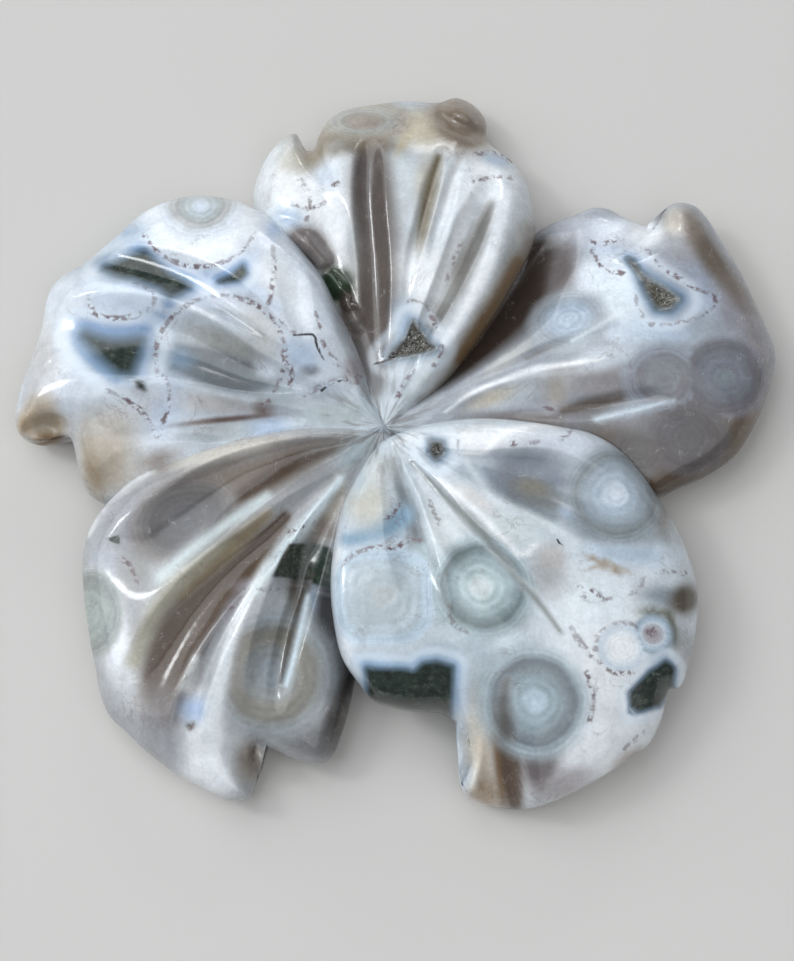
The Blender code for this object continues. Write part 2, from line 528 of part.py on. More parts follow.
def sheet_height(rows):
    """A thin plate bent through rows of x, y, z, as a function of x and y."""
    rows = np.asarray(rows, float)
    places = rows[:, :2]

    def kernel(a, b):
        square = ((a[:, None] - b[None]) ** 2).sum(axis=2)
        return square * np.log(square + 1e-9)

    count = len(rows)
    system = np.zeros((count + 3, count + 3))
    system[:count, :count] = kernel(places, places) + 2.0 * np.eye(count)
    system[:count, count:] = np.column_stack([np.ones(count), places])
    system[count:, :count] = system[:count, count:].T
    weights = np.linalg.solve(system, np.concatenate([rows[:, 2], np.zeros(3)]))

    def height(points):
        flat = np.column_stack([np.ones(len(points)), points]) @ weights[count:]
        return kernel(points, places) @ weights[:count] + flat

    return height


def stroke_depth(points, stroke):
    path = spline(stroke, False, 0.7)
    gap, row, side = closest(points, path, False)
    width = np.where(side > 0, row[:, 2], row[:, 3])
    share = gap / np.maximum(width, 0.1)
    return row[:, 4] * np.clip(1 - share**2, 0, None)


def bead_height(points, stroke):
    path = spline(stroke, False, 0.7)
    gap, row, _ = closest(points, path, False)
    share = np.clip(gap / np.maximum(row[:, 2], 0.1), 0, 1)
    return row[:, 4] * (1 - share**2) ** 2


def top_height(petal, points, sheet):
    cut = np.zeros(len(points))
    for stroke in petal["gouges"]:
        cut = np.maximum(cut, stroke_depth(points, stroke))
    for stroke in petal["scores"]:
        cut += stroke_depth(points, stroke)
    height = sheet(points) - cut
    for stroke in petal["beads"]:
        height += bead_height(points, stroke)
    return height


def placed(points, heights):
    """Slides plan points along their lines of sight to their heights."""
    eye = np.array(EYE)
    share = (eye[2] - heights) / (eye[2] - PLAN_Z)
    return eye[:2] + (points - eye[:2]) * share[:, None]


def step_up(value, low, high):
    share = np.clip((value - low) / (high - low), 0, 1)
    return share * share * (3 - 2 * share)


def smoothed(rim, reach):
    """The outline with detail shorter than the reach taken off."""
    count = len(rim)
    length = np.linalg.norm(np.diff(rim[:, :2], axis=0, append=rim[:1, :2]), axis=1).sum()
    waves = np.fft.fftfreq(count, d=length / count)
    fade = np.exp(-2 * (math.pi * waves * reach) ** 2)
    return np.real(np.fft.ifft(np.fft.fft(rim[:, :2], axis=0) * fade[:, None], axis=0))


def petal_mesh(name, petal):
    """A sphere with its equator on the petal's rim, pressed to the petal's top and underside."""
    bpy.ops.mesh.primitive_uv_sphere_add(segments=MERIDIANS, ring_count=TOP_RINGS + UNDER_RINGS)
    obj = bpy.context.object
    obj.name = name
    ball = np.empty(len(obj.data.vertices) * 3)
    obj.data.vertices.foreach_get("co", ball)
    ball = ball.reshape(-1, 3)
    rings = TOP_RINGS + UNDER_RINGS
    ring = np.rint(np.arccos(np.clip(ball[:, 2], -1, 1)) / math.pi * rings).astype(int)
    turn = np.arctan2(ball[:, 1], ball[:, 0]) / (2 * math.pi) % 1
    meridian = np.rint(turn * MERIDIANS).astype(int) % MERIDIANS
    on_top = ring <= TOP_RINGS

    rim = spline(petal["rim"], True, MERIDIANS)
    area = np.sum(rim[:, 0] * np.roll(rim[:, 1], -1) - np.roll(rim[:, 0], -1) * rim[:, 1])
    if area < 0:
        rim = rim[::-1]
    plain = smoothed(rim, SMOOTH_OUTLINE)
    pole = np.array(petal["pole"])
    far = np.linalg.norm(plain - pole, axis=1)

    edge = rim[meridian]
    reach = far[meridian]
    roll = edge[:, 4]
    rolled = np.clip(roll / reach, 0.02, 0.6)
    top_share = ring / TOP_RINGS
    under_share = (rings - ring) / UNDER_RINGS
    bend = 0.72
    inner = top_share / bend * (1 - rolled)
    angle = np.clip((top_share - bend) / (1 - bend), 0, 1) * math.pi / 2
    outer = 1 - rolled * (1 - np.sin(angle))
    radius = np.where(top_share < bend, inner, outer)
    under_angle = np.clip((under_share - 0.5) * 2, 0, 1) * math.pi / 2
    under_outer = 1 - rolled * (1 - np.sin(under_angle))
    under_inner = under_share * 2 * (1 - rolled)
    radius = np.where(on_top, radius, np.where(under_share < 0.5, under_inner, under_outer))

    detail = (edge[:, :2] - plain[meridian]) * step_up(radius, 0.55, 1.0)[:, None]
    points = pole + (plain[meridian] - pole) * radius[:, None] + detail

    sheet = sheet_height([row[:3] for row in petal["rim"][::2]] + list(petal["sheet"]))
    gap, near, _ = closest(points, rim, True)
    gap = np.where(radius > 0.9999, 0, gap)
    share = np.clip(gap / near[:, 4], 0, 1)
    swell = np.sqrt(np.clip(1 - (1 - share) ** 2, 0, 1))
    top = top_height(petal, points, sheet)
    middle = np.minimum(near[:, 2], top + 0.2) - near[:, 3] * 0.5
    upper = middle + (top - middle) * swell
    spot = placed(points, upper)
    out = np.hypot(spot[:, 0], spot[:, 1])
    lift = step_up(out, FOOT_RADIUS, FREE_RADIUS)
    below = BURIED_Z + (near[:, 2] - near[:, 3] - BURIED_Z) * lift
    below = np.minimum(below, upper - 1.0)
    lower = middle - (middle - below) * swell
    level = np.where(on_top, upper, lower)
    level = np.where(ring == TOP_RINGS, middle, level)
    done = np.column_stack([spot, level]) * MM
    obj.data.vertices.foreach_set("co", done.ravel())
    obj.data.update()
    return obj


def only(obj):
    bpy.ops.object.select_all(action="DESELECT")
    obj.select_set(True)
    bpy.context.view_layer.objects.active = obj


def apply(obj, kind, **settings):
    only(obj)
    modifier = obj.modifiers.new(kind.title(), kind)
    for name, value in settings.items():
        setattr(modifier, name, value)
    bpy.ops.object.modifier_apply(modifier=modifier.name)


def flatten_foot(obj):
    """Grinds off what is below z = 0 and closes the cut."""
    mesh = bmesh.new()
    mesh.from_mesh(obj.data)
    everything = mesh.verts[:] + mesh.edges[:] + mesh.faces[:]
    bmesh.ops.bisect_plane(
        mesh, geom=everything, dist=1e-6, plane_co=(0, 0, 0), plane_no=(0, 0, 1), clear_inner=True
    )
    open_edges = [edge for edge in mesh.edges if edge.is_boundary]
    bmesh.ops.triangle_fill(mesh, edges=open_edges, use_beauty=True, normal=(0, 0, -1))
    bmesh.ops.recalc_face_normals(mesh, faces=mesh.faces[:])
    bmesh.ops.triangulate(mesh, faces=mesh.faces[:])
    mesh.to_mesh(obj.data)
    mesh.free()


def main():
    for obj in list(bpy.data.objects):
        bpy.data.objects.remove(obj, do_unlink=True)
    pieces = [petal_mesh(f"petal_{i}", petal) for i, petal in enumerate(PETALS)]
    bpy.ops.object.select_all(action="DESELECT")
    for piece in pieces:
        piece.select_set(True)
    flower = pieces[0]
    bpy.context.view_layer.objects.active = flower
    bpy.ops.object.join()
    flower.name = "flower_carving"
    apply(flower, "REMESH", mode="VOXEL", voxel_size=VOXEL * MM)
    apply(flower, "SMOOTH", factor=0.4, iterations=2)
    flower.data.calc_loop_triangles()
    count = len(flower.data.loop_triangles)
    apply(flower, "DECIMATE", ratio=min(1.0, TRIANGLES / count))
    flatten_foot(flower)
    material = bpy.data.materials.new("polished_stone")
    material.diffuse_color = STONE_COLOUR
    flower.data.materials.clear()
    flower.data.materials.append(material)


main()
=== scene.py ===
"""The looks of a polished stone carving of a five-petalled flower, on a pale floor.

The stone is made again here from the same tables as its solid, with finer steps, and takes the
solid's place. Tables are in millimetres, on the level PLAN_Z as seen from EYE, as the solid's are.
"""

import math
import random

import bmesh
import bpy
import numpy as np
from mathutils import Euler, Matrix, Vector


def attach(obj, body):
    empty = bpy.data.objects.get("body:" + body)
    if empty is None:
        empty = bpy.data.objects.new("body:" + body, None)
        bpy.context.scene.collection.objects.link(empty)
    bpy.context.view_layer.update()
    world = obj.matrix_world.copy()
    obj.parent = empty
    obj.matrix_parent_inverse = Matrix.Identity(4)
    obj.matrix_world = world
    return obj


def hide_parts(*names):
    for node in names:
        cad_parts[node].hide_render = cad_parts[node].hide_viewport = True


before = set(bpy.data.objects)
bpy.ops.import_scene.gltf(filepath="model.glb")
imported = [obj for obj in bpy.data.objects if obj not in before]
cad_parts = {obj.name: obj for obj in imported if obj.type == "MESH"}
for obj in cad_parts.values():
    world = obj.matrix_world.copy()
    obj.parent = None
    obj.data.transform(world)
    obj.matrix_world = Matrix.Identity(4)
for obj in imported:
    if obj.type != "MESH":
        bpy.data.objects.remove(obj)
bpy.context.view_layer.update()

MM = 0.001
EYE = (1.29, -53.69, 193.85)
PLAN_Z = 7.0
MERIDIANS = 340
TOP_RINGS = 96
UNDER_RINGS = 8
TRIANGLES = 196000
SMOOTH_OUTLINE = 5.0
FOOT_RADIUS = 15.0
FREE_RADIUS = 29.0
BURIED_Z = -1.2
ARRIS = 0.16
CAMERA_PLACE = (1.2856, -53.6885, 193.8478)
CAMERA_TILT = 75.8
CAMERA_ROLL = -2.0
SENSOR = 36.0
FOCAL_PIXELS = 1831.0
FRAME_HEIGHT_PIXELS = 961.0
# The ground's colours are deepened: a share, then a power each for red, green and blue.
DEEPER = (1.05, 1.22, 1.27, 1.33)
# Rim rows are x, y, height of the top edge, thickness, width of the rolled edge.
# Sheet rows are x, y, height. Gouge, score and bead rows are x, y, left and right width, depth.
LOWER_RIGHT = {
    "pole": (4.0, -7.0),
    "rim": [
        (0.0, -2.0, 8.4, 4.0, 1.4),
        (2.0, -1.1, 9.0, 4.4, 1.4),
        (5.0, -0.3, 9.7, 4.8, 1.5),
        (10.0, 0.1, 10.5, 5.0, 1.6),
        (15.0, -0.4, 10.5, 5.0, 1.6),
        (19.0, -1.2, 10.1, 5.0, 1.8),
        (22.0, -2.0, 9.6, 5.0, 2.0),
        (25.0, -4.0, 9.1, 5.0, 2.2),
        (27.3, -7.0, 8.6, 5.0, 2.2),
        (29.0, -10.0, 8.2, 5.0, 2.2),
        (30.5, -13.0, 7.9, 5.0, 2.2),
        (31.7, -17.0, 7.6, 5.0, 2.2),
        (32.0, -20.0, 7.4, 5.0, 2.2),
        (31.5, -23.5, 7.1, 5.0, 2.2),
        (30.5, -27.0, 6.9, 5.0, 2.2),
        (29.4, -29.3, 6.7, 5.0, 2.0),
        (28.5, -29.2, 6.7, 5.0, 2.0),
        (28.0, -30.2, 6.6, 5.0, 2.0),
        (27.5, -32.0, 6.4, 5.0, 2.2),
        (26.0, -34.8, 6.2, 5.0, 2.4),
        (24.0, -36.2, 6.0, 4.8, 2.4),
        (21.0, -38.0, 5.9, 4.8, 2.4),
        (18.0, -39.5, 5.8, 4.8, 2.4),
        (15.0, -40.6, 5.7, 4.8, 2.2),
        (12.0, -41.0, 5.7, 4.8, 1.8),
        (9.0, -40.3, 5.8, 4.8, 1.4),
        (7.0, -39.4, 5.9, 4.8, 1.2),
        (6.7, -38.6, 6.0, 4.8, 1.2),
        (7.2, -37.3, 6.2, 4.8, 1.2),
        (7.9, -35.5, 6.6, 4.8, 1.2),
        (7.6, -33.8, 7.1, 5.0, 1.3),
        (6.5, -32.0, 7.7, 5.2, 1.5),
        (5.0, -31.0, 8.2, 5.4, 1.6),
        (2.0, -30.7, 8.8, 5.6, 1.7),
        (0.0, -30.2, 9.2, 5.8, 1.6),
        (-2.0, -29.4, 9.6, 5.8, 1.5),
        (-3.5, -27.5, 10.0, 5.8, 1.4),
        (-5.0, -25.0, 10.4, 5.8, 1.3),
        (-5.8, -21.0, 10.9, 5.8, 1.3),
        (-6.0, -17.0, 11.1, 5.8, 1.3),
        (-5.5, -13.0, 10.8, 5.6, 1.3),
        (-4.5, -9.0, 10.2, 5.0, 1.3),
        (-3.0, -6.0, 9.4, 4.4, 1.3),
        (-1.2, -3.2, 8.6, 4.0, 1.3),
    ],
    "sheet": [
        (2.5, -5.0, 10.0),
        (5.0, -9.0, 12.0),
        (6.0, -15.0, 13.6),
        (-1.0, -13.0, 12.0),
        (-0.5, -20.0, 12.6),
        (1.0, -26.0, 11.4),
        (6.5, -22.0, 13.4),
        (7.5, -28.0, 11.4),
        (9.5, -12.0, 12.8),
        (13.0, -17.0, 12.9),
        (17.0, -22.0, 11.9),
        (14.5, -30.0, 10.2),
        (20.0, -30.0, 9.4),
        (12.5, -36.0, 8.0),
        (20.0, -35.0, 7.9),
        (25.0, -26.0, 9.4),
        (27.0, -18.0, 9.6),
        (24.0, -9.5, 10.0),
        (20.0, -15.0, 11.4),
        (15.0, -7.0, 11.2),
        (8.0, -4.0, 11.0),
    ],
    "gouges": [
        [(0.8, -3.0, 0.6, 1.2, 0.5), (1.5, -6.0, 1.1, 2.2, 1.1), (2.5, -9.5, 1.6, 3.2, 1.6),
         (3.2, -13.0, 1.8, 3.8, 1.6), (4.0, -17.0, 2.0, 4.0, 1.1), (5.0, -20.0, 2.0, 4.0, 0.6),
         (6.0, -23.0, 2.0, 3.0, 0.0)],
        [(3.0, -4.7, 0.6, 1.2, 0.6), (5.0, -7.5, 1.2, 2.0, 1.3), (8.0, -12.0, 1.6, 3.2, 1.9),
         (11.0, -15.0, 1.7, 3.8, 1.9), (14.0, -18.5, 1.9, 4.2, 1.2), (16.5, -22.0, 2.2, 4.0, 0.5),
         (18.5, -25.0, 2.2, 3.0, 0.0)],
        [(5.0, -3.4, 0.9, 0.7, 0.5), (9.0, -5.0, 1.8, 1.6, 1.3), (13.0, -6.3, 3.4, 3.0, 2.1),
         (17.0, -7.6, 4.4, 3.6, 2.3), (21.0, -9.4, 4.2, 3.6, 1.6), (25.5, -12.0, 3.4, 3.0, 0.3)],
        [(12.0, -31.5, 2.0, 2.0, 0.0), (11.2, -35.0, 3.0, 2.6, 1.6), (10.6, -38.5, 3.4, 2.5, 2.6),
         (10.2, -42.0, 3.6, 2.5, 2.8)],
        [(19.0, -24.0, 2.5, 2.5, 0.0), (23.0, -29.0, 3.5, 3.0, 0.5), (26.0, -34.0, 3.5, 3.0, 0.4)],
    ],
    "scores": [],
    "beads": [],
}

RIGHT = {
    "pole": (8.0, 2.5),
    "rim": [
        (-0.6, -0.4, 5.2, 4.0, 1.5),
        (2.0, -2.4, 4.9, 4.0, 1.5),
        (10.0, -3.0, 4.6, 4.0, 1.5),
        (18.0, -4.5, 4.8, 4.0, 1.5),
        (24.0, -7.0, 5.0, 4.4, 2.0),
        (27.0, -9.0, 5.0, 4.4, 2.2),
        (28.7, -9.2, 5.0, 4.4, 2.2),
        (31.0, -8.2, 5.1, 4.4, 2.4),
        (34.0, -7.0, 5.2, 4.4, 2.4),
        (37.0, -5.0, 5.3, 4.4, 2.4),
        (39.5, -1.5, 5.4, 4.4, 2.4),
        (41.0, 1.5, 5.5, 4.4, 2.4),
        (42.0, 4.5, 5.6, 4.4, 2.4),
        (42.2, 6.5, 5.7, 4.4, 2.4),
        (41.5, 9.0, 5.8, 4.4, 2.4),
        (40.5, 12.0, 5.9, 4.4, 2.4),
        (39.0, 16.0, 6.1, 4.4, 2.2),
        (37.5, 19.0, 6.3, 4.4, 2.0),
        (36.0, 22.0, 6.5, 4.4, 1.8),
        (34.8, 23.4, 6.6, 4.2, 1.6),
        (33.0, 23.8, 6.5, 4.0, 1.4),
        (31.8, 23.3, 6.1, 3.8, 1.2),
        (31.0, 22.0, 5.5, 3.6, 1.2),
        (30.4, 20.9, 5.2, 3.6, 1.2),
        (29.0, 21.3, 5.1, 3.6, 1.4),
        (27.0, 22.3, 5.2, 3.8, 1.6),
        (25.5, 23.3, 5.2, 4.0, 1.8),
        (24.0, 23.6, 5.0, 4.0, 1.8),
        (22.5, 23.1, 4.8, 4.0, 1.8),
        (21.0, 22.5, 4.6, 3.8, 1.8),
        (19.0, 21.8, 4.4, 3.8, 1.8),
        (17.0, 20.5, 4.2, 3.6, 1.8),
        (13.0, 15.5, 3.9, 3.4, 1.8),
        (9.0, 10.5, 3.9, 3.4, 1.8),
        (4.0, 5.0, 4.5, 3.6, 1.6),
        (1.5, 2.0, 5.2, 4.0, 1.5),
    ],
    "sheet": [
        (5.0, 1.5, 6.2),
        (9.0, 2.5, 7.2),
        (13.0, 4.0, 7.8),
        (17.0, 5.3, 8.2),
        (22.0, 5.8, 8.5),
        (27.0, 6.8, 8.6),
        (12.0, 6.0, 7.0),
        (19.0, 8.3, 8.0),
        (26.0, 11.0, 8.5),
        (16.0, 12.0, 6.2),
        (21.0, 16.0, 6.8),
        (24.0, 17.0, 7.0),
        (28.0, 17.0, 7.4),
        (33.0, 14.0, 8.0),
        (34.0, 19.0, 7.4),
        (36.0, 4.0, 7.9),
        (31.0, -1.0, 7.6),
        (24.0, -2.0, 6.8),
        (14.0, 0.0, 6.2),
        (30.0, 4.5, 8.6),
    ],
    "gouges": [
        [(6.0, 0.6, 1.0, 1.0, 0.4), (9.0, 1.2, 1.4, 1.6, 0.9), (13.0, 1.8, 2.4, 2.2, 1.3),
         (18.0, 1.4, 3.8, 2.2, 1.4), (22.0, 0.9, 4.4, 1.6, 1.4), (26.0, 1.4, 3.8, 1.3, 1.1),
         (29.0, 1.8, 2.6, 1.2, 0.6), (31.5, 2.1, 1.6, 1.0, 0.0)],
        [(9.0, 3.9, 0.6, 0.8, 0.3), (13.0, 5.2, 1.0, 1.3, 0.8), (17.0, 6.9, 1.2, 1.8, 1.0),
         (20.0, 7.9, 1.3, 2.3, 0.9), (24.0, 9.0, 1.5, 2.6, 0.5), (28.0, 10.2, 1.5, 2.2, 0.0)],
        [(3.0, 2.2, 1.6, 1.0, 0.5), (7.0, 5.0, 2.2, 1.5, 1.2), (10.0, 7.6, 2.8, 2.2, 1.7),
         (13.0, 10.6, 3.0, 3.4, 1.9), (16.0, 14.4, 3.0, 4.2, 1.9), (18.3, 18.5, 3.0, 3.8, 1.5),
         (19.5, 22.5, 3.0, 3.0, 1.0)],
        [(18.0, 12.0, 1.5, 1.5, 0.0), (21.0, 13.4, 2.4, 2.0, 0.6), (25.0, 14.4, 2.4, 2.4, 0.7),
         (29.5, 14.5, 2.4, 2.4, 0.3), (33.0, 14.0, 2.0, 2.0, 0.0)],
        [(25.5, 16.5, 1.0, 1.2, 0.0), (27.5, 18.8, 1.8, 1.8, 0.8), (29.4, 20.6, 2.0, 2.2, 1.5),
         (31.0, 22.0, 2.0, 1.6, 1.8)],
    ],
    "scores": [
        [(19.5, 0.5, 1.2, 0.7, 0.2), (23.0, 0.9, 1.4, 0.7, 0.6), (27.0, 1.3, 1.3, 0.6, 0.6),
         (30.5, 1.9, 1.0, 0.5, 0.1)],
    ],
    "beads": [
        [(33.3, 22.3, 1.7, 1.7, 0.9), (33.6, 21.6, 1.7, 1.7, 0.6)],
    ],
}

TOP = {
    "pole": (2.0, 7.0),
    "rim": [
        (0.6, -1.8, 5.5, 4.0, 1.6),
        (2.4, 0.2, 5.9, 4.4, 1.8),
        (4.4, 1.9, 6.3, 4.6, 2.0),
        (7.0, 4.3, 7.0, 5.2, 2.4),
        (9.5, 7.4, 7.6, 5.8, 2.8),
        (12.0, 11.0, 8.0, 6.2, 3.0),
        (14.5, 15.0, 8.2, 6.4, 3.2),
        (16.5, 18.5, 8.2, 6.4, 3.2),
        (17.3, 21.0, 8.0, 6.2, 3.2),
        (17.1, 24.0, 7.8, 5.8, 3.0),
        (16.5, 27.0, 7.4, 5.2, 2.6),
        (15.0, 29.6, 6.8, 4.8, 2.0),
        (13.0, 31.3, 6.0, 4.4, 1.4),
        (12.4, 32.4, 5.4, 4.0, 1.2),
        (12.6, 33.6, 5.0, 4.0, 1.6),
        (12.2, 35.0, 4.8, 4.0, 1.8),
        (11.0, 36.4, 4.7, 4.0, 1.8),
        (9.3, 37.2, 4.6, 4.0, 1.8),
        (7.4, 36.7, 4.4, 3.8, 1.6),
        (4.0, 37.0, 4.4, 4.0, 2.2),
        (0.0, 36.7, 4.4, 4.0, 2.2),
        (-3.5, 36.0, 4.5, 4.0, 2.2),
        (-5.1, 34.8, 4.6, 4.0, 1.8),
        (-6.1, 33.0, 4.9, 4.0, 1.3),
        (-6.6, 31.6, 5.2, 4.0, 1.1),
        (-7.5, 31.5, 5.3, 4.0, 1.1),
        (-8.0, 32.5, 5.3, 4.0, 1.2),
        (-8.6, 33.6, 5.2, 4.0, 1.4),
        (-9.6, 33.3, 5.1, 4.0, 1.6),
        (-11.0, 32.0, 5.0, 4.2, 2.0),
        (-12.3, 30.0, 4.9, 4.2, 2.2),
        (-13.2, 27.5, 4.8, 4.2, 2.2),
        (-13.4, 25.0, 4.7, 4.2, 2.2),
        (-12.5, 21.5, 4.6, 4.0, 2.0),
        (-10.0, 17.0, 4.6, 3.8, 1.8),
        (-7.5, 12.0, 4.7, 3.8, 1.6),
        (-5.0, 7.0, 4.9, 3.8, 1.5),
        (-3.0, 3.0, 5.1, 3.8, 1.5),
        (-1.2, 0.0, 5.3, 4.0, 1.5),
    ],
    "sheet": [
        (2.5, 4.0, 7.0),
        (6.5, 8.0, 8.8),
        (10.0, 12.6, 9.5),
        (13.0, 18.5, 9.8),
        (14.0, 24.0, 9.4),
        (5.0, 12.0, 8.6),
        (7.5, 19.0, 9.6),
        (10.5, 25.0, 9.6),
        (10.0, 32.4, 7.4),
        (5.5, 31.0, 8.6),
        (2.2, 31.5, 8.3),
        (3.0, 24.0, 9.2),
        (2.4, 16.0, 8.6),
        (-0.4, 31.0, 7.9),
        (-3.5, 31.5, 7.3),
        (-3.2, 25.0, 8.2),
        (-3.0, 18.0, 7.2),
        (-6.5, 25.0, 7.4),
        (-9.8, 27.0, 6.6),
        (-2.0, 10.0, 6.6),
        (0.5, 8.0, 7.2),
        (2.0, 34.6, 6.2),
    ],
    "gouges": [
        [(-0.2, 7.5, 0.9, 1.0, 0.5), (-0.3, 12.0, 1.6, 1.6, 1.5), (-0.4, 18.0, 2.0, 1.9, 2.1),
         (-0.8, 25.0, 2.0, 2.0, 2.3), (-0.7, 29.0, 1.9, 1.9, 1.9), (-0.5, 32.5, 1.6, 1.6, 0.6)],
        [(2.6, 12.0, 0.6, 0.6, 0.1), (3.8, 18.5, 1.0, 1.0, 0.9), (5.0, 22.5, 1.1, 1.1, 1.3),
         (6.3, 27.0, 1.1, 1.1, 1.3), (7.4, 30.6, 0.9, 0.9, 0.6)],
        [(5.6, 17.5, 0.6, 0.6, 0.1), (6.5, 21.0, 0.9, 0.9, 0.8), (7.5, 24.0, 1.0, 1.0, 1.0),
         (8.4, 27.0, 1.0, 1.0, 0.9), (9.6, 30.4, 0.8, 0.8, 0.3)],
        [(3.6, 6.0, 0.6, 0.5, 0.3), (5.5, 11.0, 1.5, 1.1, 1.2), (7.0, 14.0, 1.8, 1.3, 1.6),
         (9.0, 18.0, 2.2, 1.5, 1.8), (10.6, 22.0, 2.3, 1.7, 1.6), (12.0, 25.0, 2.0, 1.6, 1.2),
         (13.2, 28.0, 1.4, 1.2, 0.3)],
        [(-4.3, 26.0, 0.8, 0.8, 0.0), (-5.8, 28.5, 1.2, 1.2, 0.9), (-6.9, 31.0, 1.3, 1.5, 1.5),
         (-7.6, 33.5, 1.3, 1.6, 1.8)],
        [(-3.8, 15.0, 1.5, 1.5, 0.3), (-4.6, 20.0, 2.3, 2.2, 0.9), (-5.8, 24.5, 2.6, 2.6, 0.7),
         (-8.6, 28.5, 2.4, 2.4, 0.1)],
        [(6.0, 35.8, 0.9, 0.9, 0.1), (8.0, 34.6, 1.0, 1.0, 0.8), (10.4, 33.3, 1.0, 1.0, 1.0),
         (12.8, 32.1, 1.0, 1.0, 0.9)],
    ],
    "scores": [],
    "beads": [
        [(9.8, 35.6, 2.4, 2.4, 1.1), (10.3, 35.2, 2.4, 2.4, 1.1)],
        [(-10.2, 22.6, 1.2, 1.2, 0.3), (-8.0, 20.9, 1.7, 1.7, 1.6), (-5.9, 18.6, 1.4, 1.4, 1.0)],
        [(-4.9, 16.7, 1.0, 1.0, 0.5), (-4.1, 15.3, 1.2, 1.2, 1.1), (-3.6, 14.3, 1.0, 1.0, 0.4)],
        [(-3.3, 13.1, 1.0, 1.0, 0.5), (-2.7, 12.0, 1.2, 1.2, 1.2), (-2.3, 10.8, 1.0, 1.0, 0.5)],
    ],
}

